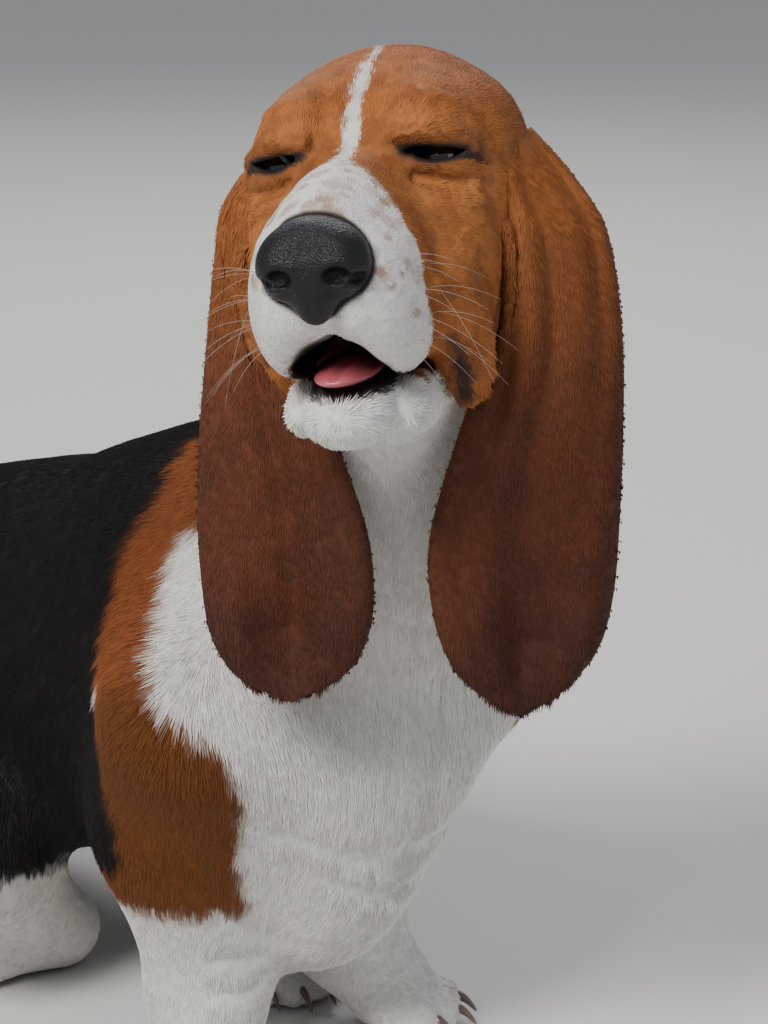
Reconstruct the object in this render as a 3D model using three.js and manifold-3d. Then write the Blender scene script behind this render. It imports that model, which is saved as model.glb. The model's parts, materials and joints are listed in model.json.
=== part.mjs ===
// A life-size sitting basset hound, chest to the front, head raised and turned to its right.
// Millimetres. +Z is up, the dog faces -Y, and its left side is +X. The origin is below the middle of
// its bounding box, on the floor.
import * as THREE from "three";
import { mergeVertices } from "three/addons/utils/BufferGeometryUtils.js";
import Module from "manifold-3d";

const wasm = await Module();
wasm.setup();

// Driving sizes
const GAP = 0.5; // clearance that two touching pieces keep
const SHRINK = 0.02; // skin taken off each piece, so that two of its folds never share an edge
const CHEST_HALF_WIDTH = 94;
const CHEST_HALF_DEPTH = 118;
const HEAD_YAW = 55; // degrees from straight ahead to the dog's right
const HEAD_PITCH = 2; // degrees that the muzzle points up
const HEAD_ROLL = 6; // degrees that the left eye stands higher
const EYE_HALF_SPACING = 33;
const EYE_RADIUS = 11.5;
const EAR_THICKNESS = 5;
const SIDES = { left: 1, right: -1 };

const BETWEEN_EYES = [-61, -260, 486];
const FLOOR = 0;

// Cell sizes of the meshed surfaces
const CELL = { head: 12, torso: 26, leg: 17, paw: 10.4, small: 6.5 };

const radians = THREE.MathUtils.degToRad;

// The head's own frame: forward along the muzzle, to the dog's left, and up.
const headFrame = (() => {
  const yaw = radians(HEAD_YAW);
  const pitch = radians(HEAD_PITCH);
  const forward = new THREE.Vector3(
    -Math.sin(yaw) * Math.cos(pitch),
    -Math.cos(yaw) * Math.cos(pitch),
    Math.sin(pitch),
  );
  const left = new THREE.Vector3().crossVectors(new THREE.Vector3(0, 0, 1), forward).normalize();
  const up = new THREE.Vector3().crossVectors(forward, left);
  left.applyAxisAngle(forward, radians(-HEAD_ROLL));
  up.applyAxisAngle(forward, radians(-HEAD_ROLL));
  return { forward, left, up, origin: new THREE.Vector3(...BETWEEN_EYES) };
})();

// A place on the head, from millimetres forward of, left of and above the point between the eyes.
function onHead(forward, left, up) {
  const { origin, forward: f, left: l, up: u } = headFrame;
  const place = origin.clone().addScaledVector(f, forward).addScaledVector(l, left).addScaledVector(u, up);
  return place.toArray();
}

// Shapes as distance functions

const clamp01 = (x) => Math.min(1, Math.max(0, x));
const mix = (a, b, t) => a + (b - a) * t;

// Smooth joining of two distances over a blend width.
function blendMin(a, b, width) {
  const h = Math.max(width - Math.abs(a - b), 0) / width;
  return Math.min(a, b) - (h * h * width) / 4;
}

// A tapered round limb from one point to another.
function limb(a, ra, b, rb, blend) {
  const [ax, ay, az] = a;
  const dx = b[0] - ax;
  const dy = b[1] - ay;
  const dz = b[2] - az;
  const square = dx * dx + dy * dy + dz * dz;
  const distance = (x, y, z) => {
    const px = x - ax;
    const py = y - ay;
    const pz = z - az;
    const t = clamp01((px * dx + py * dy + pz * dz) / square);
    return Math.hypot(px - t * dx, py - t * dy, pz - t * dz) - mix(ra, rb, t);
  };
  return { distance, blend };
}

// An ellipsoid with its three half sizes along the axes of a frame.
function muscle(centre, halves, blend, frame = null) {
  const [cx, cy, cz] = centre;
  const [hx, hy, hz] = halves;
  const axes = frame || { forward: { x: 1, y: 0, z: 0 }, left: { x: 0, y: 1, z: 0 }, up: { x: 0, y: 0, z: 1 } };
  const { forward: f, left: l, up: u } = axes;
  const distance = (x, y, z) => {
    const px = x - cx;
    const py = y - cy;
    const pz = z - cz;
    const a = (px * f.x + py * f.y + pz * f.z) / hx;
    const b = (px * l.x + py * l.y + pz * l.z) / hy;
    const c = (px * u.x + py * u.y + pz * u.z) / hz;
    const near = Math.hypot(a, b, c);
    const steep = Math.hypot(a / hx, b / hy, c / hz);
    return steep < 1e-9 ? -Math.min(hx, hy, hz) : (near * (near - 1)) / steep;
  };
  return { distance, blend };
}

// The same muscle on both sides of the head, or one on its middle line.
function headMuscles(forward, out, up, halves, blend) {
  const sides = out === 0 ? [0] : [1, -1];
  return sides.map((side) => muscle(onHead(forward, side * out, up), halves, blend, headFrame));
}

// One distance function from many shapes, joined smoothly in order.
function flesh(shapes) {
  return (x, y, z) => {
    let d = 1e6;
    for (const shape of shapes) d = blendMin(d, shape.distance(x, y, z), shape.blend);
    return d;
  };
}

const standing = (distance) => (x, y, z) => Math.max(distance(x, y, z), FLOOR - z);
const carved = (distance, holes) => (x, y, z) => {
  let d = distance(x, y, z);
  for (const hole of holes) d = -blendMin(-d, hole.distance(x, y, z), hole.blend);
  return d;
};

// The surface of a distance function inside a box, as a closed mesh of evenly sized cells.
function surface(distance, box, cell) {
  const [low, high] = box;
  const count = low.map((v, i) => Math.ceil((high[i] - v) / cell) + 2);
  const [nx, ny, nz] = count;
  const start = low.map((v) => Math.floor(v / cell) * cell - cell / 2);
  const values = new Float64Array(nx * ny * nz);
  const at = (i, j, k) => (k * ny + j) * nx + i;
  for (let k = 0; k < nz; k++)
    for (let j = 0; j < ny; j++)
      for (let i = 0; i < nx; i++) {
        const rim = i === 0 || j === 0 || k === 0 || i === nx - 1 || j === ny - 1 || k === nz - 1;
        const x = start[0] + i * cell;
        const y = start[1] + j * cell;
        const z = start[2] + k * cell;
        const d = distance(x, y, z);
        values[at(i, j, k)] = rim ? Math.max(d, cell / 2) : d;
      }
  const corners = [0, 1, 2, 3, 4, 5, 6, 7].map((c) => [c & 1, (c >> 1) & 1, (c >> 2) & 1]);
  const edges = [];
  for (const a of [0, 1, 2, 3, 4, 5, 6, 7])
    for (const bit of [1, 2, 4]) if (!(a & bit)) edges.push([a, a | bit]);
  const vertexOf = new Int32Array(nx * ny * nz).fill(-1);
  const positions = [];
  const settle = (p) => {
    const h = 0.5;
    for (let step = 0; step < 3; step++) {
      const [x, y, z] = p;
      const d = distance(x, y, z);
      const gx = (distance(x + h, y, z) - distance(x - h, y, z)) / (2 * h);
      const gy = (distance(x, y + h, z) - distance(x, y - h, z)) / (2 * h);
      const gz = (distance(x, y, z + h) - distance(x, y, z - h)) / (2 * h);
      const square = Math.max(gx * gx + gy * gy + gz * gz, 0.2);
      const move = Math.max(-0.3 * cell, Math.min(0.3 * cell, d)) / square;
      p[0] -= move * gx;
      p[1] -= move * gy;
      p[2] -= move * gz;
    }
  };
  for (let k = 0; k < nz - 1; k++)
    for (let j = 0; j < ny - 1; j++)
      for (let i = 0; i < nx - 1; i++) {
        const d = corners.map(([a, b, c]) => values[at(i + a, j + b, k + c)]);
        if (d.every((v) => v < 0) || d.every((v) => v >= 0)) continue;
        const sum = [0, 0, 0];
        let hits = 0;
        for (const [a, b] of edges) {
          if (d[a] < 0 === d[b] < 0) continue;
          const t = d[a] / (d[a] - d[b]);
          for (const axis of [0, 1, 2]) sum[axis] += mix(corners[a][axis], corners[b][axis], t);
          hits++;
        }
        const p = [i, j, k].map((v, axis) => start[axis] + (v + sum[axis] / hits) * cell);
        settle(p);
        vertexOf[at(i, j, k)] = positions.length / 3;
        positions.push(...p);
      }
  const faces = [];
  const quad = (a, b, c, d, turned) =>
    turned ? faces.push(a, c, b, a, d, c) : faces.push(a, b, c, a, c, d);
  for (let k = 0; k < nz - 1; k++)
    for (let j = 0; j < ny - 1; j++)
      for (let i = 0; i < nx - 1; i++) {
        const here = values[at(i, j, k)] < 0;
        const v = (a, b, c) => vertexOf[at(i + a, j + b, k + c)];
        if (j && k && here !== values[at(i + 1, j, k)] < 0)
          quad(v(0, -1, -1), v(0, 0, -1), v(0, 0, 0), v(0, -1, 0), !here);
        if (i && k && here !== values[at(i, j + 1, k)] < 0)
          quad(v(-1, 0, -1), v(-1, 0, 0), v(0, 0, 0), v(0, 0, -1), !here);
        if (i && j && here !== values[at(i, j, k + 1)] < 0)
          quad(v(-1, -1, 0), v(0, -1, 0), v(0, 0, 0), v(-1, 0, 0), !here);
      }
  return largest(solidFrom(positions, faces));
}

// Solids

function solidFrom(positions, triangles) {
  return new wasm.Manifold(
    new wasm.Mesh({
      numProp: 3,
      vertProperties: new Float32Array(positions),
      triVerts: new Uint32Array(triangles),
    }),
  );
}

function solidOf(geometry) {
  const plain = geometry.clone();
  for (const name of ["normal", "uv"]) plain.deleteAttribute(name);
  const merged = mergeVertices(plain, 1e-3);
  return solidFrom(merged.attributes.position.array, merged.index.array);
}

function largest(solid) {
  const bodies = solid.decompose();
  return bodies.reduce((best, body) => (body.volume() > best.volume() ? body : best), bodies[0]);
}

// A block with one face on a point, reaching far behind it along a direction. It cuts a piece off squarely.
function blockBehind(point, direction, reach = 700, offset = 0) {
  const way = new THREE.Vector3(...direction).normalize();
  const turn = new THREE.Quaternion().setFromUnitVectors(new THREE.Vector3(0, 0, 1), way);
  const middle = new THREE.Vector3(...point).addScaledVector(way, reach / 2 + offset);
  const block = new THREE.BoxGeometry(2 * reach, 2 * reach, reach).applyQuaternion(turn);
  return solidOf(block.translate(...middle.toArray()));
}

function geometryOf(solid) {
  const mesh = solid.getMesh();
  return new THREE.BufferGeometry()
    .setAttribute("position", new THREE.BufferAttribute(new Float32Array(mesh.vertProperties), 3))
    .setIndex(new THREE.BufferAttribute(new Uint32Array(mesh.triVerts), 1));
}

// The skeleton: places that the flesh is hung on

const joints = {
  neckBase: [4, -168, 294],
  skullBase: [14, -210, 430],
  left: {
    shoulder: [80, -166, 208],
    elbow: [70, -130, 146],
    wrist: [46, -120, 52],
    paw: [60, -140, 22],
    pawTurn: 45,
    hip: [52, 150, 104],
    knee: [98, 10, 98],
    hock: [66, 4, 21],
    hindPaw: [46, -66, 17],
    hindTurn: -8,
  },
  right: {
    shoulder: [-80, -160, 208],
    elbow: [-70, -130, 146],
    wrist: [-55, -132, 52],
    paw: [-64, -146, 22],
    pawTurn: -14,
    hip: [-52, 150, 104],
    knee: [-98, 14, 98],
    hock: [-26, 38, 21],
    hindPaw: [-120, 46, 16],
    hindTurn: -88,
  },
  tail: [
    [0, 222, 62],
    [26, 262, 24],
    [78, 284, 15],
    [128, 272, 12],
    [160, 240, 8],
  ],
};

// Flesh of the trunk, from chest to rump
const trunk = [
  muscle([0, -98, 204], [CHEST_HALF_WIDTH, 112, CHEST_HALF_DEPTH], 10),
  muscle([0, -190, 196], [58, 46, 66], 60),
  muscle([0, -128, 112], [52, 74, 62], 40),
  muscle([0, 6, 186], [94, 120, 104], 40),
  muscle([0, 104, 166], [90, 104, 98], 40),
  muscle([0, 166, 96], [88, 76, 104], 40),
  limb([0, -46, 242], 58, joints.neckBase, 54, 40),
];

const neckFlesh = [
  limb(joints.neckBase, 56, joints.skullBase, 48, 36),
  limb([-2, -214, 268], 26, onHead(-5, 0, -88), 36, 45),
];

function forelegFlesh(side) {
  const j = joints[side];
  return [
    limb(j.shoulder, 46, j.elbow, 36, 40),
    limb(j.elbow, 35, j.wrist, 28, 26),
    limb(j.wrist, 27, j.paw, 25, 18),
  ];
}

function hindlegFlesh(side) {
  const j = joints[side];
  return [
    limb(j.hip, 66, j.knee, 45, 40),
    limb(j.knee, 36, j.hock, 22, 24),
    limb(j.hock, 20, j.hindPaw, 19, 14),
  ];
}

const tailFlesh = joints.tail.slice(1).map((end, i) => {
  const radius = (n) => mix(24, 6, n / (joints.tail.length - 1));
  return limb(joints.tail[i], radius(i), end, radius(i + 1), i ? 8 : 30);
});

// Four toes side by side in front of a paw's middle, turned outwards.
const TOE_SPREAD = [-21, -7.5, 7.5, 21];
const TOE_REACH = [16, 27, 27, 16];
const TOE_HEIGHT = 11; // a little less than a toe's radius, so that its underside is flat
function toePlaces(centre, turnDegrees) {
  const turn = radians(turnDegrees);
  const ahead = [Math.sin(turn), -Math.cos(turn)];
  const across = [Math.cos(turn), Math.sin(turn)];
  return TOE_SPREAD.map((offset, n) => ({
    place: [
      centre[0] + across[0] * offset + ahead[0] * TOE_REACH[n],
      centre[1] + across[1] * offset + ahead[1] * TOE_REACH[n],
      TOE_HEIGHT,
    ],
    ahead,
  }));
}

function pawFlesh(centre, turnDegrees) {
  return toePlaces(centre, turnDegrees).map(({ place, ahead }) => {
    const [x, y, z] = place;
    return limb([x - ahead[0] * 14, y - ahead[1] * 14, z + 5], 11, [x, y, z], 12, 7);
  });
}

// Flesh of the head
const skull = [
  ...headMuscles(-50, 0, 2, [62, 53, 42], 10),
  ...headMuscles(-104, 0, 6, [16, 18, 18], 22),
  ...headMuscles(-4, 24, 10, [28, 22, 20], 18),
  ...headMuscles(-44, 40, -14, [38, 20, 34], 20),
  ...headMuscles(-6, 32, -40, [44, 24, 42], 24),
  ...headMuscles(42, 0, -20, [58, 25, 25], 22),
  ...headMuscles(86, 0, -30, [20, 22, 20], 14),
];
const flews = [
  ...headMuscles(58, 21, -50, [40, 18, 34], 16),
  ...headMuscles(24, 38, -62, [26, 12, 26], 14),
  ...headMuscles(88, 12, -46, [17, 14, 18], 10),
];
const lowerJaw = [
  ...headMuscles(32, 0, -94, [60, 26, 19], 14),
  ...headMuscles(74, 0, -96, [18, 19, 14], 8),
  ...headMuscles(36, 25, -93, [32, 8, 17], 8),
];
const mouth = [
  ...headMuscles(92, 0, -72, [32, 15, 11], 4),
  ...headMuscles(50, 0, -82, [50, 27, 14], 6),
];
const eyeSockets = headMuscles(10, EYE_HALF_SPACING, -2, [15, 14, 9], 6);
const nosePad = [
  ...headMuscles(99, 0, -28, [17, 21, 17], 6),
  ...headMuscles(104, 11, -31, [13, 12, 13], 6),
  ...headMuscles(106, 0, -42, [9, 9, 12], 6),
];
const nostrils = [
  ...headMuscles(118, 12, -34, [8, 6, 4.2], 2),
  ...headMuscles(112, 20, -36, [9, 4, 3], 2),
];

const wholeBody = standing(
  flesh([
    ...trunk,
    ...neckFlesh,
    ...forelegFlesh("left"),
    ...forelegFlesh("right"),
    ...hindlegFlesh("left"),
    ...hindlegFlesh("right"),
    ...pawFlesh(joints.left.paw, joints.left.pawTurn),
    ...pawFlesh(joints.right.paw, joints.right.pawTurn),
    ...pawFlesh(joints.left.hindPaw, joints.left.hindTurn),
    ...pawFlesh(joints.right.hindPaw, joints.right.hindTurn),
    ...tailFlesh,
  ]),
);
const upperHead = carved(flesh([...skull, ...flews]), [...mouth, ...eyeSockets]);
const headAndBody = (x, y, z) => Math.min(wholeBody(x, y, z), upperHead(x, y, z));

// Boxes to mesh in
function boxAround(points, margin) {
  const low = [0, 1, 2].map((i) => Math.min(...points.map((p) => p[i])) - margin);
  const high = [0, 1, 2].map((i) => Math.max(...points.map((p) => p[i])) + margin);
  return [low, high];
}

// Lids: a fold of skin above and below each eye, bent over the ball.
function lid(side, above) {
  const sign = SIDES[side];
  const points = [];
  const STEPS = 8;
  for (let i = 0; i <= STEPS; i++) {
    const t = i / STEPS;
    const sweep = mix(-1, 1, t);
    const arch = above ? 4.5 * (1 - sweep * sweep) + 0.5 : -6.5 * (1 - sweep * sweep) - 0.5;
    const forward = 13 - 9 * t - 2.5 * sweep * sweep;
    points.push(new THREE.Vector3(...onHead(forward, sign * (23 + 23 * t), arch - 3 * t)));
  }
  const path = new THREE.CatmullRomCurve3(points);
  const section = new THREE.Shape().absellipse(0, 0, 3.4, 3.4, 0, 2 * Math.PI);
  const fold = new THREE.ExtrudeGeometry(section, { steps: 8, curveSegments: 4, extrudePath: path });
  return solidOf(fold);
}

// An ear: a soft leaf hung from the side of the skull. Its stations give how far each edge stands to the
// viewer's right of the point between the eyes, how far below it, and how far in front of it.
const VIEW_YAW = radians(42);
const toRight = [Math.cos(VIEW_YAW), -Math.sin(VIEW_YAW)];
const toViewer = [-Math.sin(VIEW_YAW), -Math.cos(VIEW_YAW)];
function fromView(right, near, drop) {
  const [x, y, z] = BETWEEN_EYES;
  return [x + toRight[0] * right + toViewer[0] * near, y + toRight[1] * right + toViewer[1] * near, z - drop];
}

const EARS = {
  left: {
    // drop, front edge, rear edge, how near the front and rear edges are
    stations: [
      [-4, 46, 72, 2, -58],
      [18, 50, 92, 6, -56],
      [40, 52, 106, 10, -40],
      [80, 51, 112, 14, -22],
      [124, 37, 113, 20, -14],
      [163, 27, 112, 24, -10],
      [196, 29, 110, 26, -8],
      [219, 37, 104, 24, -2],
      [234, 49, 92, 20, 3],
      [241, 62, 79, 18, 6],
    ],
    bulge: 16,
    curl: 7,
  },
  right: {
    stations: [
      [4, -40, -46, -8, -34],
      [26, -36, -62, 2, -34],
      [48, -32, -66, 8, -30],
      [84, -28, -70, 12, -24],
      [124, -12, -74, 14, -16],
      [160, 0, -75, 16, -8],
      [190, 3, -73, 18, 2],
      [212, -1, -69, 18, 8],
      [227, -11, -60, 17, 10],
      [234, -25, -46, 16, 12],
    ],
    bulge: 12,
    curl: 10,
  },
};
const ACROSS = 8;
const DOWN = 12;

function earSheet(side) {
  const { stations, bulge, curl } = EARS[side];
  const curves = [0, 1, 2, 3, 4].map(
    (column) => new THREE.CatmullRomCurve3(stations.map((row) => new THREE.Vector3(row[0], row[column], 0))),
  );
  const rows = [];
  for (let j = 0; j <= DOWN; j++) {
    const s = j / DOWN;
    const drop = curves[0].getPoint(s).x;
    const [front, rear, nearFront, nearRear] = [1, 2, 3, 4].map((c) => curves[c].getPoint(s).y);
    const row = [];
    for (let i = 0; i <= ACROSS; i++) {
      const t = i / ACROSS;
      const belly = bulge * Math.sin(Math.PI * t) * Math.sin(Math.PI * Math.min(1, 0.25 + s));
      const wave = curl * Math.sin(3 * Math.PI * t) * Math.min(s, 3 * (1 - s));
      const p = fromView(mix(front, rear, t), mix(nearFront, nearRear, t) + belly + wave, drop);
      row.push(new THREE.Vector3(...p));
    }
    rows.push(row);
  }
  return rows;
}

// Moves a point out of the flesh to a clearance.
function keepClear(point, distance, clearance) {
  for (let step = 0; step < 24; step++) {
    const { x, y, z } = point;
    const d = distance(x, y, z);
    if (d >= clearance) return;
    const h = 1;
    const away = new THREE.Vector3(
      distance(x + h, y, z) - distance(x - h, y, z),
      distance(x, y + h, z) - distance(x, y - h, z),
      0,
    );
    if (away.lengthSq() < 1e-9) return;
    point.addScaledVector(away.normalize(), Math.min(6, clearance - d));
  }
}

function ear(side) {
  const rows = earSheet(side);
  const rooted = 3; // rows that stay sunk in the skull
  rows.slice(rooted).forEach((row, j) =>
    row.forEach((p) => keepClear(p, headAndBody, Math.min(EAR_THICKNESS + 1.5, 2 * j))),
  );
  const outside = [];
  const inside = [];
  rows.forEach((row, j) =>
    row.forEach((p, i) => {
      const along = rows[Math.min(j + 1, DOWN)][i].clone().sub(rows[Math.max(j - 1, 0)][i]);
      const across = row[Math.min(i + 1, ACROSS)].clone().sub(row[Math.max(i - 1, 0)]);
      const normal = across.cross(along).normalize();
      const edge = Math.min(1, 4 * Math.min(i / ACROSS, 1 - i / ACROSS) + 0.35);
      const half = (EAR_THICKNESS / 2) * edge * mix(1.3, 0.8, j / DOWN);
      outside.push(...p.clone().addScaledVector(normal, half).toArray());
      inside.push(...p.clone().addScaledVector(normal, -half).toArray());
    }),
  );
  const count = rows.length * (ACROSS + 1);
  const index = (i, j) => j * (ACROSS + 1) + i;
  const faces = [];
  for (let j = 0; j < DOWN; j++)
    for (let i = 0; i < ACROSS; i++) {
      const [a, b, c, d] = [index(i, j), index(i + 1, j), index(i + 1, j + 1), index(i, j + 1)];
      faces.push(a, b, c, a, c, d);
      faces.push(a + count, c + count, b + count, a + count, d + count, c + count);
    }
  const rim = [];
  for (let i = 0; i < ACROSS; i++) rim.push(index(i, 0));
  for (let j = 0; j < DOWN; j++) rim.push(index(ACROSS, j));
  for (let i = ACROSS; i > 0; i--) rim.push(index(i, DOWN));
  for (let j = DOWN; j > 0; j--) rim.push(index(0, j));
  rim.forEach((a, n) => {
    const b = rim[(n + 1) % rim.length];
    faces.push(a, a + count, b + count, a, b + count, b);
  });
  const solid = solidFrom([...outside, ...inside], faces);
  return solid.volume() < 0 ? solidFrom([...outside, ...inside], faces.reverse()) : solid;
}

// A claw: a curved, tapering horn that leaves a toe's tip.
const CLAW_LENGTH = 13;
const CLAW_HEIGHT = 13; // height of its root
function claw({ place, ahead }) {
  const [x, y] = place;
  const root = 7;
  const path = new THREE.QuadraticBezierCurve3(
    new THREE.Vector3(x + ahead[0] * root, y + ahead[1] * root, CLAW_HEIGHT),
    new THREE.Vector3(x + ahead[0] * (root + 8), y + ahead[1] * (root + 8), CLAW_HEIGHT),
    new THREE.Vector3(x + ahead[0] * (root + CLAW_LENGTH), y + ahead[1] * (root + CLAW_LENGTH), CLAW_HEIGHT - 10),
  );
  const SIDES_ROUND = 5;
  const RINGS = 3;
  const positions = [];
  const faces = [];
  for (let ring = 0; ring < RINGS; ring++) {
    const t = ring / RINGS;
    const centre = path.getPoint(t);
    const way = path.getTangent(t);
    const across = new THREE.Vector3(-ahead[1], ahead[0], 0);
    const over = across.clone().cross(way).normalize();
    for (let n = 0; n < SIDES_ROUND; n++) {
      const angle = (2 * Math.PI * n) / SIDES_ROUND;
      const radius = 3.4 * (1 - 0.85 * t);
      const p = centre.clone();
      p.addScaledVector(across, 0.8 * radius * Math.cos(angle)).addScaledVector(over, radius * Math.sin(angle));
      positions.push(...p.toArray());
    }
  }
  const tip = positions.length / 3;
  positions.push(...path.getPoint(1).toArray(), ...path.getPoint(0).toArray());
  for (let n = 0; n < SIDES_ROUND; n++) {
    const next = (n + 1) % SIDES_ROUND;
    for (let ring = 0; ring + 1 < RINGS; ring++) {
      const [a, b] = [ring * SIDES_ROUND + n, ring * SIDES_ROUND + next];
      faces.push(a, b, b + SIDES_ROUND, a, b + SIDES_ROUND, a + SIDES_ROUND);
    }
    const last = (RINGS - 1) * SIDES_ROUND;
    faces.push(last + n, last + next, tip, next, n, tip + 1);
  }
  const solid = solidFrom(positions, faces);
  return solid.volume() < 0 ? solidFrom(positions, faces.reverse()) : solid;
}

// Assembly

const materials = {
  tan: { color: 0x9a4f22, roughness: 0.75, metalness: 0 },
  ear: { color: 0x5c2c18, roughness: 0.75, metalness: 0 },
  white: { color: 0xe6e4de, roughness: 0.8, metalness: 0 },
  black: { color: 0x15120f, roughness: 0.7, metalness: 0 },
  nose: { color: 0x141417, roughness: 0.45, metalness: 0 },
  eye: { color: 0x1c100a, roughness: 0.1, metalness: 0 },
  tongue: { color: 0xc0606c, roughness: 0.4, metalness: 0 },
  claw: { color: 0x4a3a30, roughness: 0.45, metalness: 0 },
};
for (const name of Object.keys(materials))
  materials[name] = new THREE.MeshStandardMaterial(materials[name]);

const dog = new THREE.Group();

const taken = []; // solids already placed, grown by the gap, that later pieces are cut clear of

// A solid with every point moved outwards by a distance.
function grownOf(solid, distance) {
  const geometry = geometryOf(solid);
  geometry.computeVertexNormals();
  const { position, normal } = geometry.attributes;
  const moved = position.array.map((v, i) => v + normal.array[i] * distance);
  return solidFrom(moved, geometry.index.array);
}

// Sets every point that is within a hair of the floor to one height, so that the soles are flat.
function onFloor(geometry) {
  const { position } = geometry.attributes;
  for (let n = 0; n < position.count; n++) if (position.getZ(n) < FLOOR + 0.1) position.setZ(n, FLOOR);
  return geometry;
}

function place(name, material, solid, clears = false) {
  let piece = solid;
  for (const other of taken) piece = piece.subtract(other);
  piece = grownOf(largest(piece), -SHRINK);
  const mesh = new THREE.Mesh(onFloor(geometryOf(piece)), materials[material]);
  mesh.name = name;
  dog.add(mesh);
  if (clears) taken.push(grownOf(piece, GAP));
}

const headBox = boxAround([onHead(-125, 0, 50), onHead(125, 0, -115), onHead(0, 70, 0), onHead(0, -70, 0)], 18);
const neckCut = { point: onHead(-62, 0, -40), direction: [0.74, 0.3, -0.6] };

// Eyes
for (const side of ["left", "right"]) {
  const sphere = (radius) =>
    solidOf(
      new THREE.SphereGeometry(radius, 14, 10).translate(
        ...onHead(4, SIDES[side] * EYE_HALF_SPACING, -2),
      ),
    );
  place("eye_" + side, "eye", sphere(EYE_RADIUS), true);
}

// Nose leather, with its nostrils
const noseShape = carved(flesh(nosePad), nostrils);
const noseBox = boxAround([onHead(80, -25, -60), onHead(125, 25, -5)], 14);
place("nose", "nose", surface(noseShape, noseBox, CELL.small), true);

// Tongue
const tongueShape = flesh([...headMuscles(62, 0, -80, [32, 13, 4.5], 3)]);
const tongueBox = boxAround([onHead(25, -16, -92), onHead(100, 16, -66)], 10);
place("tongue", "tongue", surface(tongueShape, tongueBox, CELL.small), true);

// Head, with lids above and below each eye
let headWithLids = surface(upperHead, headBox, CELL.head);
headWithLids = headWithLids.subtract(blockBehind(neckCut.point, neckCut.direction, 300));
for (const side of ["left", "right"])
  for (const above of [true, false]) headWithLids = headWithLids.add(lid(side, above));
place("head", "tan", headWithLids, true);

// Lower jaw
const jawShape = carved(flesh(lowerJaw), headMuscles(70, 0, -76, [34, 14, 8], 3));
const jawBox = boxAround([onHead(-30, -36, -120), onHead(100, 36, -62)], 14);
place("lower_jaw", "white", surface(jawShape, jawBox, CELL.paw), true);

// Ears
for (const side of ["left", "right"]) place("ear_" + side, "ear", ear(side), true);

// Claws
for (const side of ["left", "right"]) {
  const j = joints[side];
  const feet = { fore: toePlaces(j.paw, j.pawTurn), hind: toePlaces(j.hindPaw, j.hindTurn) };
  for (const [foot, toes] of Object.entries(feet))
    toes.forEach((toe, n) => place(`claw_${foot}_${side}_${n + 1}`, "claw", claw(toe), true));
}

// The body's own pieces are parted from one body by square cuts, each cut keeping the gap.
const blockOf = ([low, high], grow = 0) => {
  const size = high.map((v, i) => v - low[i] + 2 * grow);
  const middle = high.map((v, i) => (v + low[i]) / 2);
  return solidOf(new THREE.BoxGeometry(...size).translate(...middle));
};
const mirrored = ([low, high], sign) =>
  sign > 0 ? [low, high] : [[-high[0], low[1], low[2]], [-low[0], high[1], high[2]]];

const cleared = []; // blocks whose flesh already belongs to a piece
function part(name, material, box, cell, block, grown) {
  let solid = surface(wholeBody, box, cell).intersect(block);
  for (const other of cleared) solid = solid.subtract(other);
  place(name, material, solid);
  cleared.push(grown);
}
function boxed(name, material, limits, cell) {
  const [low, high] = limits;
  const around = [low.map((v) => v - 2 * cell), high.map((v) => v + 2 * cell)];
  part(name, material, around, cell, blockOf(limits), blockOf(limits, GAP));
}

const FOREPAW_TOP = 46.5;
const FORELEG_TOP = 178;
const FORELEG_BACK = -52;
const INNER_ARM = 46;
for (const side of ["left", "right"]) {
  const sign = SIDES[side];
  const paw = mirrored([[1, -270, -4], [150, -88, FOREPAW_TOP]], sign);
  boxed("forepaw_" + side, "white", paw, CELL.paw);
  const arm = [[INNER_ARM, -270, FOREPAW_TOP + GAP], [170, FORELEG_BACK, FORELEG_TOP]];
  const wrist = [[8, -230, FOREPAW_TOP + GAP], [170, -80, 96]];
  const blocks = [arm, wrist].map((limits) => mirrored(limits, sign));
  const joined = (grow) => blockOf(blocks[0], grow).add(blockOf(blocks[1], grow));
  const around = mirrored([[0, -280, 30], [180, -30, 200]], sign);
  part("foreleg_" + side, "white", around, CELL.leg, joined(0), joined(GAP));
}
boxed("hind_paw_left", "white", [[1, -87.5, -4], [130, -14, 42]], CELL.paw);
boxed("hind_paw_right", "white", [[-220, -40, -4], [-84, 110, 42]], CELL.paw);
for (const side of ["left", "right"]) {
  const thigh = mirrored([[56, -46, -4], [190, 215, 205]], SIDES[side]);
  boxed("hind_leg_" + side, side === "left" ? "black" : "white", thigh, CELL.leg);
}
const tailStart = [joints.tail[0][0], joints.tail[0][1] + 6, joints.tail[0][2]];
const tailBox = [[-60, 190, -4], [200, 320, 110]];
const tailBlock = (offset) => blockBehind(tailStart, [0.1, 1, -0.35], 160, offset);
part("tail", "black", tailBox, CELL.leg, tailBlock(0), tailBlock(-GAP));

const neckWay = new THREE.Vector3(...joints.skullBase).sub(new THREE.Vector3(...joints.neckBase)).toArray();
const headSide = blockBehind(neckCut.point, neckCut.direction.map((v) => -v), 400, GAP - 4);
const neckSide = (offset) => blockBehind([0, -150, 296], neckWay, 500, offset);
const neckBlockAll = neckSide(0).subtract(headSide);
part("neck", "tan", [[-110, -300, 240], [130, -60, 500]], CELL.leg, neckBlockAll, neckSide(-GAP));

const WAIST = -24;
boxed("torso", "white", [[-200, -320, -4], [200, WAIST, 420]], CELL.torso);
boxed("hindquarters", "black", [[-200, WAIST + GAP, -4], [200, 320, 420]], CELL.torso);

// The origin goes below the middle of the bounding box, on the floor.
const extent = new THREE.Box3().setFromObject(dog);
const middle = extent.getCenter(new THREE.Vector3());
dog.position.set(-middle.x, -middle.y, -extent.min.z);

export default dog;
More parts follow.
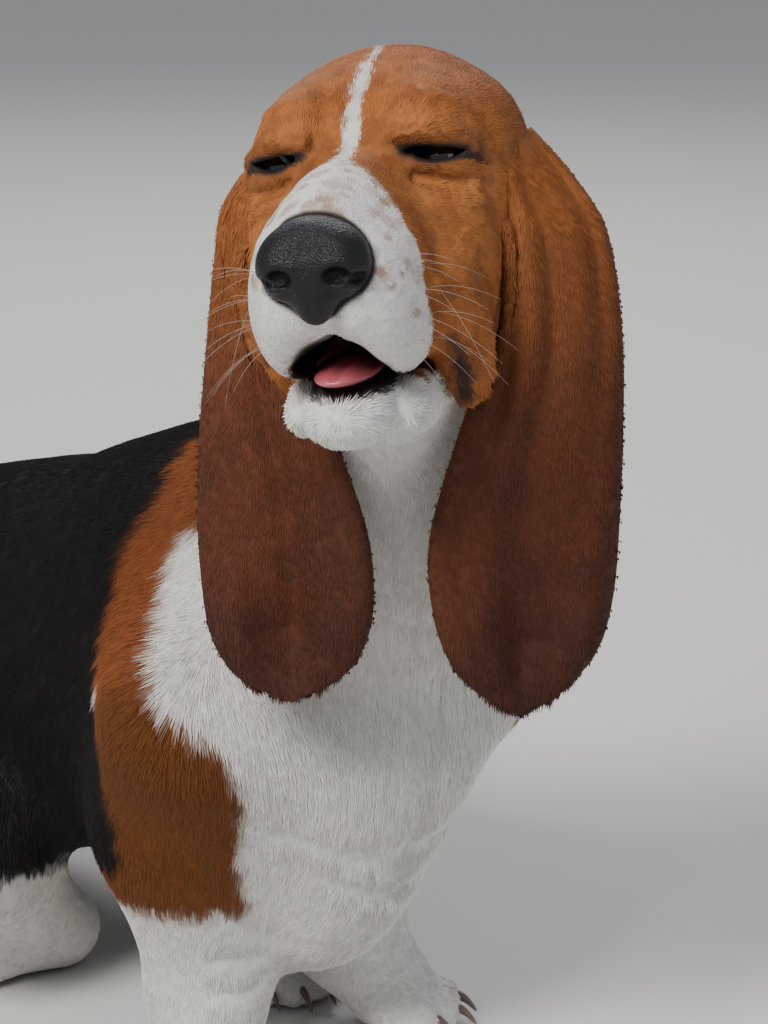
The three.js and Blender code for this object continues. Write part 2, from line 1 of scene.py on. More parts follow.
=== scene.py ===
"""A life-size sitting basset hound: short fur, hanging ears, wet nose and half-closed eyes.

Shapes are worked out in millimetres in the hound's own frame: it faces -Y, its left side is +X, +Z is up.
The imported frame's eyes say where that frame's origin lies. Finished meshes are in metres.
"""
import json
import logging
from dataclasses import dataclass, field
from enum import Enum
from math import cos, radians, sin
from typing import ClassVar

import bmesh
import bpy
import numpy as np
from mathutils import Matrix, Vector

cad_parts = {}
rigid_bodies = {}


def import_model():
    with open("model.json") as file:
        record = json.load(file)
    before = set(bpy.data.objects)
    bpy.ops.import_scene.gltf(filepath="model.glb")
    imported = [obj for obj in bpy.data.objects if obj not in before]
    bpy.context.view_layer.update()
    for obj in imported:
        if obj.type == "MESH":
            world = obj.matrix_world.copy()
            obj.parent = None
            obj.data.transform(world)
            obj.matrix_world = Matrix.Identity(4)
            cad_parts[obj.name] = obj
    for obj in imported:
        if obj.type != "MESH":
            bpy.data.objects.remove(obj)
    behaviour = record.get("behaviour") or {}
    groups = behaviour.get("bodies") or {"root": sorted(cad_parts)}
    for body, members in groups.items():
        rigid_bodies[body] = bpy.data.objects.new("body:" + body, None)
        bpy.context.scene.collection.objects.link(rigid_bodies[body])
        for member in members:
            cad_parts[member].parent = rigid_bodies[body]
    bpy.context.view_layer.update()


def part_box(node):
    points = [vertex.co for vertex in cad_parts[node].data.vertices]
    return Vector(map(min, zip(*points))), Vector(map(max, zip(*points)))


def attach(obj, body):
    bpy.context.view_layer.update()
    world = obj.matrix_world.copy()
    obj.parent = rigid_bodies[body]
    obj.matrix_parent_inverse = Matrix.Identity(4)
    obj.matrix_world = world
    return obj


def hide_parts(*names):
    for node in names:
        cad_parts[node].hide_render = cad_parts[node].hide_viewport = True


log = logging.getLogger("hound")
Array = np.ndarray
Triple = tuple[float, float, float]
Mesh = bpy.types.Mesh
Object = bpy.types.Object
Material = bpy.types.Material
Collection = bpy.types.Collection
NodeTree = bpy.types.NodeTree
Node = bpy.types.Node
Socket = bpy.types.NodeSocket
MM = 0.001
IMAGE_SIZE = (768, 1024)
SIDES = {"left": 1.0, "right": -1.0}

# Distances are only worked out near a shape, in millimetres
FAR = 60.0
SHAPE_MARGIN = 45
HOLLOW_MARGIN = 15


class CoatZone(Enum):
    """The stretches of coat that are grown apart, so that each piece stays small."""

    FACE = "face"
    CROWN = "crown"
    THROAT = "throat"
    CHEST = "chest"
    FORE = "fore"
    FLANK = "flank"
    REAR = "rear"
    EAR_LEFT = "ear_left"
    EAR_RIGHT = "ear_right"


# The skeleton


@dataclass(frozen=True)
class Limb:
    """The joints of one leg, and how far its toes turn outwards in degrees."""

    upper: Triple
    middle: Triple
    lower: Triple
    paw: Triple
    turn: float


@dataclass(frozen=True)
class Skeleton:
    """The places that the flesh hangs on, in millimetres."""

    between_eyes: Triple = (-61.0, -260.0, 486.0)
    head_yaw: float = 55.0
    head_pitch: float = 2.0
    head_roll: float = 6.0
    eye_half_spacing: float = 33.0
    neck_base: Triple = (4.0, -168.0, 294.0)
    skull_base: Triple = (14.0, -210.0, 430.0)
    fore: dict[str, Limb] = field(
        default_factory=lambda: {
            "left": Limb((80, -166, 208), (70, -130, 146), (46, -120, 52), (60, -140, 22), 45),
            "right": Limb((-80, -160, 208), (-70, -130, 146), (-55, -132, 52), (-64, -146, 22), -14),
        }
    )
    hind: dict[str, Limb] = field(
        default_factory=lambda: {
            "left": Limb((52, 150, 104), (98, 10, 98), (66, 4, 21), (46, -66, 17), -8),
            "right": Limb((-52, 150, 104), (-98, 14, 98), (-26, 38, 21), (-120, 46, 16), -88),
        }
    )
    tail: tuple[Triple, ...] = ((0, 222, 62), (26, 262, 24), (78, 284, 15), (128, 272, 12), (160, 240, 8))

    def head_axes(self) -> Array:
        """Gives the head's forward, left and up directions.

        Returns:
            Three unit vectors, one to a row.
        """
        yaw, pitch, roll = (radians(v) for v in (self.head_yaw, self.head_pitch, self.head_roll))
        forward = np.array([-sin(yaw) * cos(pitch), -cos(yaw) * cos(pitch), sin(pitch)])
        left = np.cross([0.0, 0.0, 1.0], forward)
        left /= np.linalg.norm(left)
        up = np.cross(forward, left)
        turned_left = left * cos(roll) + up * sin(roll)
        turned_up = up * cos(roll) - left * sin(roll)
        return np.array([forward, turned_left, turned_up])

    def on_head(self, forward: float, left: float, up: float) -> Array:
        """Gives a place on the head, from distances along the head's own directions."""
        return np.array(self.between_eyes) + np.array([forward, left, up], float) @ self.head_axes()

    def head_local(self, points: Array) -> Array:
        """Gives points in the head's own frame: forward, left and up of the point between the eyes."""
        return (points - np.array(self.between_eyes)) @ self.head_axes().T


BONES = Skeleton()


# Flesh as distance functions


@dataclass(frozen=True)
class Round:
    """A tapered limb of flesh with round ends.

    Attributes:
        start: Centre of the first end.
        start_radius: Radius there.
        end: Centre of the other end.
        end_radius: Radius there.
        blend: Width over which it runs into what it grows from.
    """

    start: Triple
    start_radius: float
    end: Triple
    end_radius: float
    blend: float

    def reach(self) -> tuple[Array, float]:
        """Gives a ball that holds the whole limb."""
        start, end = np.array(self.start, float), np.array(self.end, float)
        radius = np.linalg.norm(end - start) / 2 + max(self.start_radius, self.end_radius)
        return (start + end) / 2, float(radius)

    def distance(self, points: Array) -> Array:
        """Gives each point's distance to the limb, negative inside."""
        start, end = np.array(self.start, float), np.array(self.end, float)
        along = end - start
        offset = points - start
        part = np.clip(offset @ along / (along @ along), 0, 1)
        nearest = offset - part[:, None] * along
        radius = self.start_radius + (self.end_radius - self.start_radius) * part
        return np.sqrt(np.einsum("ij,ij->i", nearest, nearest)) - radius


@dataclass(frozen=True)
class Muscle:
    """An egg of flesh, in the body's frame or in the head's.

    Attributes:
        centre: Its middle.
        halves: Its half sizes along the frame's three directions.
        blend: Width over which it runs into what it grows from.
        on_head: Whether it lies along the head's directions.
    """

    centre: Triple
    halves: Triple
    blend: float
    on_head: bool = False

    def reach(self) -> tuple[Array, float]:
        """Gives a ball that holds the whole muscle."""
        return np.array(self.centre, float), float(max(self.halves))

    def distance(self, points: Array) -> Array:
        """Gives each point's distance to the muscle, negative inside."""
        offset = points - np.array(self.centre, float)
        if self.on_head:
            offset = offset @ BONES.head_axes().T
        halves = np.array(self.halves, float)
        scaled = offset / halves
        near = np.sqrt(np.einsum("ij,ij->i", scaled, scaled))
        steeper = scaled / halves
        steep = np.sqrt(np.einsum("ij,ij->i", steeper, steeper))
        return near * (near - 1) / np.maximum(steep, 1e-6)


@dataclass(frozen=True)
class Fold:
    """A crease or a ridge in the skin along a line.

    Attributes:
        line: Points of the line.
        width: How far it spreads to each side.
        depth: How deep it cuts in, or below zero how high it stands.
        on_head: Whether the points are in the head's own frame.
        mirrored: Whether it is there on both sides of the head.
    """

    line: tuple[Triple, ...]
    width: float
    depth: float
    on_head: bool = False
    mirrored: bool = False

    def lines(self) -> list[Array]:
        """Gives the line's points in the body's frame, once for each side it is on."""
        points = np.array(self.line, float)
        if not self.on_head:
            return [points]
        sides = (1.0, -1.0) if self.mirrored else (1.0,)
        return [np.array([BONES.on_head(f, side * out, up) for f, out, up in points]) for side in sides]

    def push(self, points: Array) -> Array:
        """Gives how far the surface is moved inwards at each point."""
        total = np.zeros(len(points))
        for line in self.lines():
            middle = line.mean(axis=0)
            radius = np.linalg.norm(line - middle, axis=1).max() + 3 * self.width
            near = np.einsum("ij,ij->i", points - middle, points - middle) < radius**2
            if not near.any():
                continue
            here = points[near]
            best = np.full(len(here), np.inf)
            for start, end in zip(line[:-1], line[1:]):
                along = end - start
                part = np.clip((here - start) @ along / max(along @ along, 1e-9), 0, 1)
                gap = here - start - part[:, None] * along
                best = np.minimum(best, np.einsum("ij,ij->i", gap, gap))
            total[near] += self.depth * np.exp(-best / self.width**2)
        return total


def blend_min(a: Array, b: Array, width: float) -> Array:
    """Joins two distances smoothly over a width."""
    overlap = np.maximum(width - np.abs(a - b), 0) / width
    return np.minimum(a, b) - overlap * overlap * width / 4


@dataclass(frozen=True)
class Flesh:
    """A body of flesh: what it is built from, what is carved out, and the folds of its skin.

    Attributes:
        shapes: Limbs and muscles, joined in order.
        hollows: Shapes that are carved out.
        folds: Creases and ridges.
        inset: How far the skin lies inside the flesh, for the coat's depth.
        floor: Height that nothing reaches below.
    """

    shapes: tuple[Round | Muscle, ...]
    hollows: tuple[Round | Muscle, ...] = ()
    folds: tuple[Fold, ...] = ()
    inset: float = 0.0
    floor: float | None = None

    def distance(self, points: Array) -> Array:
        """Gives each point's distance to the skin, negative inside.

        Args:
            points: Places in millimetres, one to a row.

        Returns:
            One distance for each point, held at a far value away from the skin.
        """
        result = np.full(len(points), FAR)
        for shape in self.shapes:
            centre, radius = shape.reach()
            offset = points - centre
            near = np.einsum("ij,ij->i", offset, offset) < (radius + SHAPE_MARGIN) ** 2
            if near.any():
                result[near] = blend_min(result[near], shape.distance(points[near]), shape.blend)
        result += self.inset
        for hollow in self.hollows:
            centre, radius = hollow.reach()
            offset = points - centre
            near = np.einsum("ij,ij->i", offset, offset) < (radius + HOLLOW_MARGIN) ** 2
            if near.any():
                result[near] = -blend_min(-result[near], hollow.distance(points[near]), hollow.blend)
        for fold in self.folds:
            result += fold.push(points)
        if self.floor is not None:
            result = np.maximum(result, self.floor - points[:, 2])
        return result

    def slope(self, points: Array, span: float = 0.4) -> tuple[Array, Array]:
        """Gives the distance and its gradient at each point, read over a short span."""
        here = self.distance(points)
        gradient = np.empty_like(points)
        for axis in range(3):
            moved = points.copy()
            moved[:, axis] += span
            gradient[:, axis] = (self.distance(moved) - here) / span
        return here, gradient

    def settle(self, points: Array, limit: float, rounds: int = 2) -> Array:
        """Moves points onto the skin, by at most a limit in each round."""
        points = points.copy()
        for _ in range(rounds):
            here, gradient = self.slope(points)
            square = np.maximum(np.einsum("ij,ij->i", gradient, gradient), 0.3)
            move = np.clip(here, -limit, limit) / square
            points -= move[:, None] * gradient
        return points


def head_pair(forward: float, out: float, up: float, halves: Triple, blend: float) -> list[Muscle]:
    """Gives a head muscle on both sides, or one on the middle line where out is zero."""
    sides = (0.0,) if out == 0 else (1.0, -1.0)
    return [Muscle(tuple(BONES.on_head(forward, s * out, up)), halves, blend, True) for s in sides]


TOE_SPREAD = (-21.0, -7.5, 7.5, 21.0)
TOE_REACH = (16.0, 27.0, 27.0, 16.0)
TOE_HEIGHT = 11.0


def toe_places(limb: Limb) -> list[tuple[Array, Array]]:
    """Gives each toe's place on a paw, with the way it points.

    Args:
        limb: The leg whose paw it is.

    Returns:
        Four pairs of a place and a unit direction.
    """
    turn = radians(limb.turn)
    ahead = np.array([sin(turn), -cos(turn), 0.0])
    across = np.array([cos(turn), sin(turn), 0.0])
    base = np.array([limb.paw[0], limb.paw[1], TOE_HEIGHT])
    return [(base + across * s + ahead * r, ahead) for s, r in zip(TOE_SPREAD, TOE_REACH)]


def paw_shapes(limb: Limb) -> list[Round]:
    """Gives the toes of one paw."""
    shapes = []
    for place, ahead in toe_places(limb):
        knuckle = place - ahead * 14 + np.array([0, 0, 5])
        shapes.append(Round(tuple(knuckle), 11, tuple(place), 12, 7))
    return shapes


def body_shapes() -> list[Round | Muscle]:
    """Gives the flesh of the trunk, neck, legs and tail."""
    b = BONES
    shapes: list[Round | Muscle] = [
        Muscle((0, -98, 204), (94, 112, 118), 10),
        Muscle((0, -190, 196), (58, 46, 66), 60),
        Muscle((0, -128, 112), (52, 74, 62), 40),
        Muscle((0, 6, 186), (94, 120, 104), 40),
        Muscle((0, 104, 166), (90, 104, 98), 40),
        Muscle((0, 166, 96), (88, 76, 104), 40),
        Round((0, -46, 242), 58, b.neck_base, 54, 40),
        Round(b.neck_base, 56, b.skull_base, 48, 36),
        Round((-2, -214, 268), 26, tuple(b.on_head(-5, 0, -88)), 36, 45),
    ]
    for side in SIDES:
        fore, hind = b.fore[side], b.hind[side]
        shapes += [
            Round(fore.upper, 46, fore.middle, 36, 40),
            Round(fore.middle, 35, fore.lower, 28, 26),
            Round(fore.lower, 27, fore.paw, 25, 18),
            Round(hind.upper, 66, hind.middle, 45, 40),
            Round(hind.middle, 36, hind.lower, 22, 24),
            Round(hind.lower, 20, hind.paw, 19, 14),
        ]
        shapes += paw_shapes(fore) + paw_shapes(hind)
    radii = np.linspace(24, 6, len(b.tail))
    for n in range(len(b.tail) - 1):
        shapes.append(Round(b.tail[n], radii[n], b.tail[n + 1], radii[n + 1], 8 if n else 30))
    return shapes


def head_shapes() -> list[Muscle]:
    """Gives the flesh of the skull, brows, cheeks, muzzle, lips, lower jaw and ear roots."""
    return [
        *head_pair(-50, 0, 2, (62, 53, 42), 10),
        *head_pair(-104, 0, 6, (16, 18, 18), 22),
        *head_pair(-4, 24, 10, (28, 22, 20), 18),
        *head_pair(-44, 40, -14, (38, 20, 34), 20),
        *head_pair(-6, 32, -40, (44, 24, 42), 24),
        *head_pair(42, 0, -20, (58, 25, 25), 22),
        *head_pair(86, 0, -30, (20, 22, 20), 14),
        *head_pair(4, 33, -2, (13.5, 15.5, 13), 8),
        *head_pair(4, 28, 15, (18, 15, 9), 9),
        *head_pair(58, 21, -50, (40, 18, 34), 16),
        *head_pair(24, 38, -62, (26, 12, 26), 14),
        head_pair(21, 40, -83, (22, 10, 23), 10)[0],
        head_pair(16, 35, -80, (20, 9, 20), 10)[1],
        *head_pair(88, 12, -46, (17, 14, 18), 10),
    ]


def jaw_shapes() -> list[Muscle]:
    """Gives the flesh of the lower jaw, chin and lower lips."""
    return [
        *head_pair(32, 0, -96, (60, 25, 18), 7),
        *head_pair(74, 0, -97, (18, 19, 14), 6),
        *head_pair(44, 24, -98, (24, 9, 13), 6),
    ]


MOUTH = (
    *head_pair(92, 0, -73, (30, 15, 9), 3),
    *head_pair(62, 0, -76, (40, 22, 9), 3),
)
EYE_SLITS = (
    *head_pair(22, 28.5, 3.8, (16, 6.5, 1.7), 1.6),
    *head_pair(17, 36.5, 1.5, (17, 10.5, 2.8), 1.6),
)
NOSE = (
    *head_pair(99, 0, -28, (17, 21, 17), 6),
    *head_pair(104, 11, -31, (13, 12, 13), 6),
    *head_pair(106, 0, -42, (9, 9, 12), 6),
)
NOSTRILS = (
    *head_pair(118, 12, -34, (8, 6, 4.2), 2),
    *head_pair(112, 20, -36, (9, 4, 3), 2),
)
LIP_LINE = (
    (95, 9, -72),
    (90, 14, -77),
    (82, 18, -82),
    (71, 23, -86),
    (56, 31.5, -90),
    (46, 37, -88),
    (40, 41, -82),
)
LASH_LINE = ((27, 21, 5), (25, 30, 5), (22, 38, 2.5), (15, 46, -0.5), (5, 52, -4))
LIP_CORNER = ((49, 42, -73), (44, 44, -80), (40, 43, -89), (35, 40, -100))
LIP_SMUDGE = ((97, 6, -62), (84, 20, -74), (70, 24, -78))
CHEEK_LINE = ((58, 41, -48), (44, 48, -54), (32, 52, -67), (27, 53, -83), (25, 50, -98))
SKIN_FOLDS = (
    # The edge of the hanging lip, and the cheek fold that curls round the corner of the mouth
    Fold(LIP_LINE, 2.6, 3.6, True, True),
    Fold(LIP_CORNER, 3.2, 4.8, True, True),
    Fold(CHEEK_LINE, 5.0, -3.4, True, True),
    Fold(((66, 38, -53), (53, 43, -59), (47, 46, -68), (44, 46, -78)), 3.0, 3.0, True, True),
    Fold(((22, 54, -44), (10, 57, -60), (8, 53, -84)), 4.0, 3.0, True, True),
    Fold(((80, 27, -34), (66, 36, -44), (56, 40, -58)), 3.4, 1.4, True, True),
    # The brow's fold over each eye, the crease under it, and the slack lid below
    Fold(((28, 21, 11), (25, 32, 11), (19, 41, 8.5), (9, 49, 3)), 4.4, -2.8, True, True),
    Fold(((25, 24, 19), (19, 34, 21), (4, 46, 15)), 4.2, 2.4, True, True),
    Fold(((28, 27, -1), (25, 35, -3.5), (18, 44, -6), (8, 51, -7)), 2.8, -1.8, True, True),
    Fold(((29, 27, -7), (25, 36, -10), (17, 46, -12)), 2.8, 2.6, True, True),
    Fold(((30, 28, -15), (25, 38, -18), (14, 49, -19)), 3.8, -1.8, True, True),
    # Furrows between the brows
    Fold(((40, 2, 14), (20, 3, 20), (-6, 4, 36), (-34, 4, 44)), 5.0, 2.2, True),
    Fold(((20, 12, 17), (4, 14, 30), (-16, 15, 40)), 3.4, 1.6, True, True),
    # The groove under the nose
    Fold(((112, 0, -50), (106, 0, -62), (96, 0, -66)), 1.6, 2.4, True),
    # The breast, the throat's fold, and the loose skin over the forearms
    Fold(((0, -228, 262), (2, -236, 220), (2, -232, 170), (0, -214, 120)), 7.0, 4.0),
    Fold(((-30, -226, 280), (0, -244, 272), (34, -228, 282)), 6.0, 5.0),
    Fold(((-78, -190, 150), (-40, -214, 128), (10, -204, 118), (52, -190, 140)), 5.5, 4.6),
    Fold(((-84, -182, 176), (-44, -220, 146), (0, -222, 140)), 6.0, 3.8),
    Fold(((82, -190, 176), (48, -216, 150), (10, -222, 142)), 6.0, 3.4),
    # Wrinkles across both wrists
    Fold(((-70, -158, 84), (-54, -162, 80), (-38, -156, 84)), 4.0, 1.8),
    Fold(((-72, -158, 66), (-56, -162, 62), (-40, -156, 68)), 3.6, 1.8),
    Fold(((-72, -160, 50), (-58, -164, 46), (-42, -156, 50)), 3.4, 1.6),
    Fold(((34, -146, 70), (50, -148, 66), (66, -138, 70)), 3.6, 1.6),
    Fold(((38, -148, 52), (54, -152, 48), (70, -140, 52)), 3.4, 1.6),
)


# The surface of a distance function as a mesh


def quad_loops(inside: Array, index: Array) -> Array:
    """Gives the quads that separate inside from outside on a grid.

    Args:
        inside: Whether each grid point is inside.
        index: The vertex number of each cell, or -1.

    Returns:
        Vertex numbers, four to a row, facing outwards.
    """
    quads = []
    for axis in range(3):
        other, third = (axis + 1) % 3, (axis + 2) % 3
        low = [slice(1, -1)] * 3
        high = [slice(1, -1)] * 3
        low[axis] = slice(0, -1)
        high[axis] = slice(1, None)
        a, b = inside[tuple(low)], inside[tuple(high)]
        where = np.argwhere(a != b)
        start = where.copy()
        start[:, other] += 1
        start[:, third] += 1
        corners = []
        for back_other, back_third in ((1, 1), (0, 1), (0, 0), (1, 0)):
            cell = start.copy()
            cell[:, other] -= back_other
            cell[:, third] -= back_third
            corners.append(index[tuple(cell.T)])
        loops = np.stack(corners, axis=1)
        leaving = a[tuple(where.T)]
        loops[~leaving] = loops[~leaving][:, ::-1]
        quads.append(loops)
    return np.concatenate(quads)


def surface(flesh: Flesh, low: Array, high: Array, cell: float) -> tuple[Array, Array]:
    """Meshes the skin inside a box.

    Args:
        flesh: What to mesh.
        low: The box's lowest corner.
        high: Its highest corner.
        cell: Size of the mesh's faces.

    Returns:
        Points and quads.
    """
    count = np.ceil((high - low) / cell).astype(int) + 2
    axes = [low[n] + cell * np.arange(count[n]) for n in range(3)]
    grid = np.stack(np.meshgrid(*axes, indexing="ij"), axis=-1).reshape(-1, 3)
    values = flesh.distance(grid).reshape(count)
    for axis in range(3):
        ends = [slice(None)] * 3
        for end in (0, -1):
            ends[axis] = end
            values[tuple(ends)] = np.maximum(values[tuple(ends)], cell / 2)
    inside = values < 0
    corners = [(a, b, c) for a in (0, 1) for b in (0, 1) for c in (0, 1)]
    cells = count - 1

    def at(corner: tuple[int, int, int], source: Array) -> Array:
        """Gives the value at one corner of every cell."""
        return source[tuple(slice(o, o + n) for o, n in zip(corner, cells))]

    total = sum(at(corner, inside).astype(int) for corner in corners)
    mixed = (total > 0) & (total < 8)
    picks = np.argwhere(mixed)
    corner_values = np.stack([at(corner, values)[mixed] for corner in corners], axis=1)
    offsets = np.array(corners, float)
    sums = np.zeros((len(picks), 3))
    hits = np.zeros(len(picks))
    for a in range(8):
        for b in range(a + 1, 8):
            if np.abs(offsets[a] - offsets[b]).sum() != 1:
                continue
            va, vb = corner_values[:, a], corner_values[:, b]
            crossed = (va < 0) != (vb < 0)
            part = np.where(crossed, va / np.where(crossed, va - vb, 1), 0)
            sums += crossed[:, None] * (offsets[a] + part[:, None] * (offsets[b] - offsets[a]))
            hits += crossed
    points = low + (picks + sums / hits[:, None]) * cell
    index = np.full(cells, -1)
    index[mixed] = np.arange(len(picks))
    return flesh.settle(points, 0.35 * cell), quad_loops(inside, index)


def mesh_from(name: str, points: Array, faces: Array | list, smooth: bool = True) -> Mesh:
    """Makes a mesh from points and faces."""
    mesh = bpy.data.meshes.new(name)
    mesh.from_pydata(np.asarray(points).tolist(), [], [list(face) for face in faces])
    mesh.validate()
    mesh.update()
    if smooth:
        mesh.shade_smooth()
    return mesh


def mesh_points(mesh: Mesh) -> Array:
    """Gives a mesh's points, one to a row."""
    points = np.empty(len(mesh.vertices) * 3)
    mesh.vertices.foreach_get("co", points)
    return points.reshape(-1, 3)


def set_points(mesh: Mesh, points: Array) -> None:
    """Moves a mesh's points."""
    mesh.vertices.foreach_set("co", points.ravel())
    mesh.update()


def mesh_normals(mesh: Mesh) -> Array:
    """Gives a mesh's point normals, one to a row."""
    normals = np.empty(len(mesh.vertices) * 3)
    mesh.vertices.foreach_get("normal", normals)
    return normals.reshape(-1, 3)


def add_object(name: str, mesh: Mesh) -> Object:
    """Puts a mesh into the scene as an object at the origin."""
    piece = bpy.data.objects.new(name, mesh)
    bpy.context.scene.collection.objects.link(piece)
    return piece


def write_attribute(mesh: Mesh, name: str, kind: str, values: Array) -> None:
    """Stores one value for each of a mesh's points."""
    attribute = mesh.attributes.get(name) or mesh.attributes.new(name, kind, "POINT")
    key = {"FLOAT": "value", "FLOAT_VECTOR": "vector", "FLOAT_COLOR": "color"}[kind]
    attribute.data.foreach_set(key, np.ascontiguousarray(values, dtype=np.float32).ravel())


def face_outwards(mesh: Mesh) -> None:
    """Turns the faces of a closed mesh outwards and shades it smooth."""
    work = bmesh.new()
    work.from_mesh(mesh)
    bmesh.ops.recalc_face_normals(work, faces=work.faces)
    work.to_mesh(mesh)
    work.free()
    mesh.shade_smooth()


def refine(mesh: Mesh, wanted: Array, flesh: Flesh, limit: float) -> None:
    """Splits the faces whose points are all wanted, and settles the new points on the skin.

    Args:
        mesh: The mesh to work on.
        wanted: Whether each point is in the finer stretch.
        flesh: What the points settle on.
        limit: How far a point may move in a round.
    """
    work = bmesh.new()
    work.from_mesh(mesh)
    work.verts.ensure_lookup_table()
    edges = [e for e in work.edges if wanted[e.verts[0].index] and wanted[e.verts[1].index]]
    bmesh.ops.subdivide_edges(work, edges=edges, cuts=1, use_grid_fill=True)
    work.to_mesh(mesh)
    work.free()
    mesh.update()
    set_points(mesh, flesh.settle(mesh_points(mesh), limit))


# Markings

# Linear colours
WHITE = np.array([0.62, 0.60, 0.57])
TAN = np.array([0.30, 0.098, 0.024])
LIGHT_TAN = np.array([0.40, 0.16, 0.050])
DEEP_TAN = np.array([0.155, 0.045, 0.013])
EAR_BROWN = np.array([0.088, 0.025, 0.011])
EAR_DARK = np.array([0.024, 0.0095, 0.0065])
BLACK = np.array([0.0042, 0.0038, 0.0038])
LIP = np.array([0.018, 0.013, 0.013])
FRECKLE = np.array([0.22, 0.085, 0.030])

# Borders in millimetres: the places where each is read, and how far it lies there
BLAZE_WIDTHS = ((-66, -34, 12, 40, 57), (0.8, 1.8, 3.0, 5.0, 8.0))
MUZZLE_EDGE = ((-92, -74, -47, -23, -8, 3, 12), (50, 58, 71, 67, 60, 54, 48))
LIP_DROP = ((-20, 10, 30, 40, 56, 71, 90), (100, 100, 95, 84, 91, 87, 79))
SADDLE_EDGE = ((0, 100, 118, 135, 190, 215, 330), (-66, -66, -80, -132, -140, -108, -102))
NECK_EDGE = ((232, 240, 258, 280, 300), (-176, -168, -148, -132, -134))
ARM_PATCH_EDGE = ((112, 131, 164, 190, 214, 232), (63, 68, 78, 90, 105, 116))
HIND_WHITE_TOP = ((-30, 30), (92, 60))

# The coat's length by height on the body, and by distance ahead of the eyes on the head
BODY_HAIR = ((0, 20, 60, 120, 200, 300), (3.5, 4.5, 6.5, 9, 10, 9.5))
HEAD_HAIR = ((-110, -60, -10, 30, 90, 110), (8.5, 6.0, 4.4, 3.6, 2.6, 2.0))

# The lowest places of the head, and the height above which everything is head
HEAD_LOWEST = 340
CROWN_LOWEST = 452


def ahead_of_neck(points: Array) -> Array:
    """Gives how far points lie towards the face, across the slope between neck and head."""
    f, _, up = BONES.head_local(points).T
    return f * 0.85 - up * 0.5


def noise(points: Array, size: float, seed: int = 0) -> Array:
    """Gives a smooth random value from about -1 to 1 at each point, made of a few turned waves.

    Args:
        points: Places in millimetres.
        size: Rough size of its blotches.
        seed: Which pattern to draw.

    Returns:
        One value for each point.
    """
    rng = np.random.default_rng(seed)
    total = np.zeros(len(points))
    for octave in range(3):
        for _ in range(5):
            way = rng.normal(size=3)
            way *= 2 * np.pi / (size * np.linalg.norm(way)) * 1.9**octave * rng.uniform(0.7, 1.3)
            total += np.sin(points @ way + rng.uniform(0, 6.28)) * 0.62**octave
    return total / 3.2


def step(value: Array, edge: float, softness: float) -> Array:
    """Gives 0 below an edge and 1 above it, with a soft change between."""
    part = np.clip((value - edge) / softness + 0.5, 0, 1)
    return part * part * (3 - 2 * part)


def spot(points: Array, centre: Array, radius: float, softness: float) -> Array:
    """Gives 1 inside a ball and 0 outside it."""
    return 1 - step(np.linalg.norm(points - centre, axis=1), radius, softness)


def paint(colour: Array, mask: Array, paint_colour: Array) -> Array:
    """Lays a colour over another where the mask is 1."""
    return colour + mask[:, None] * (paint_colour - colour)


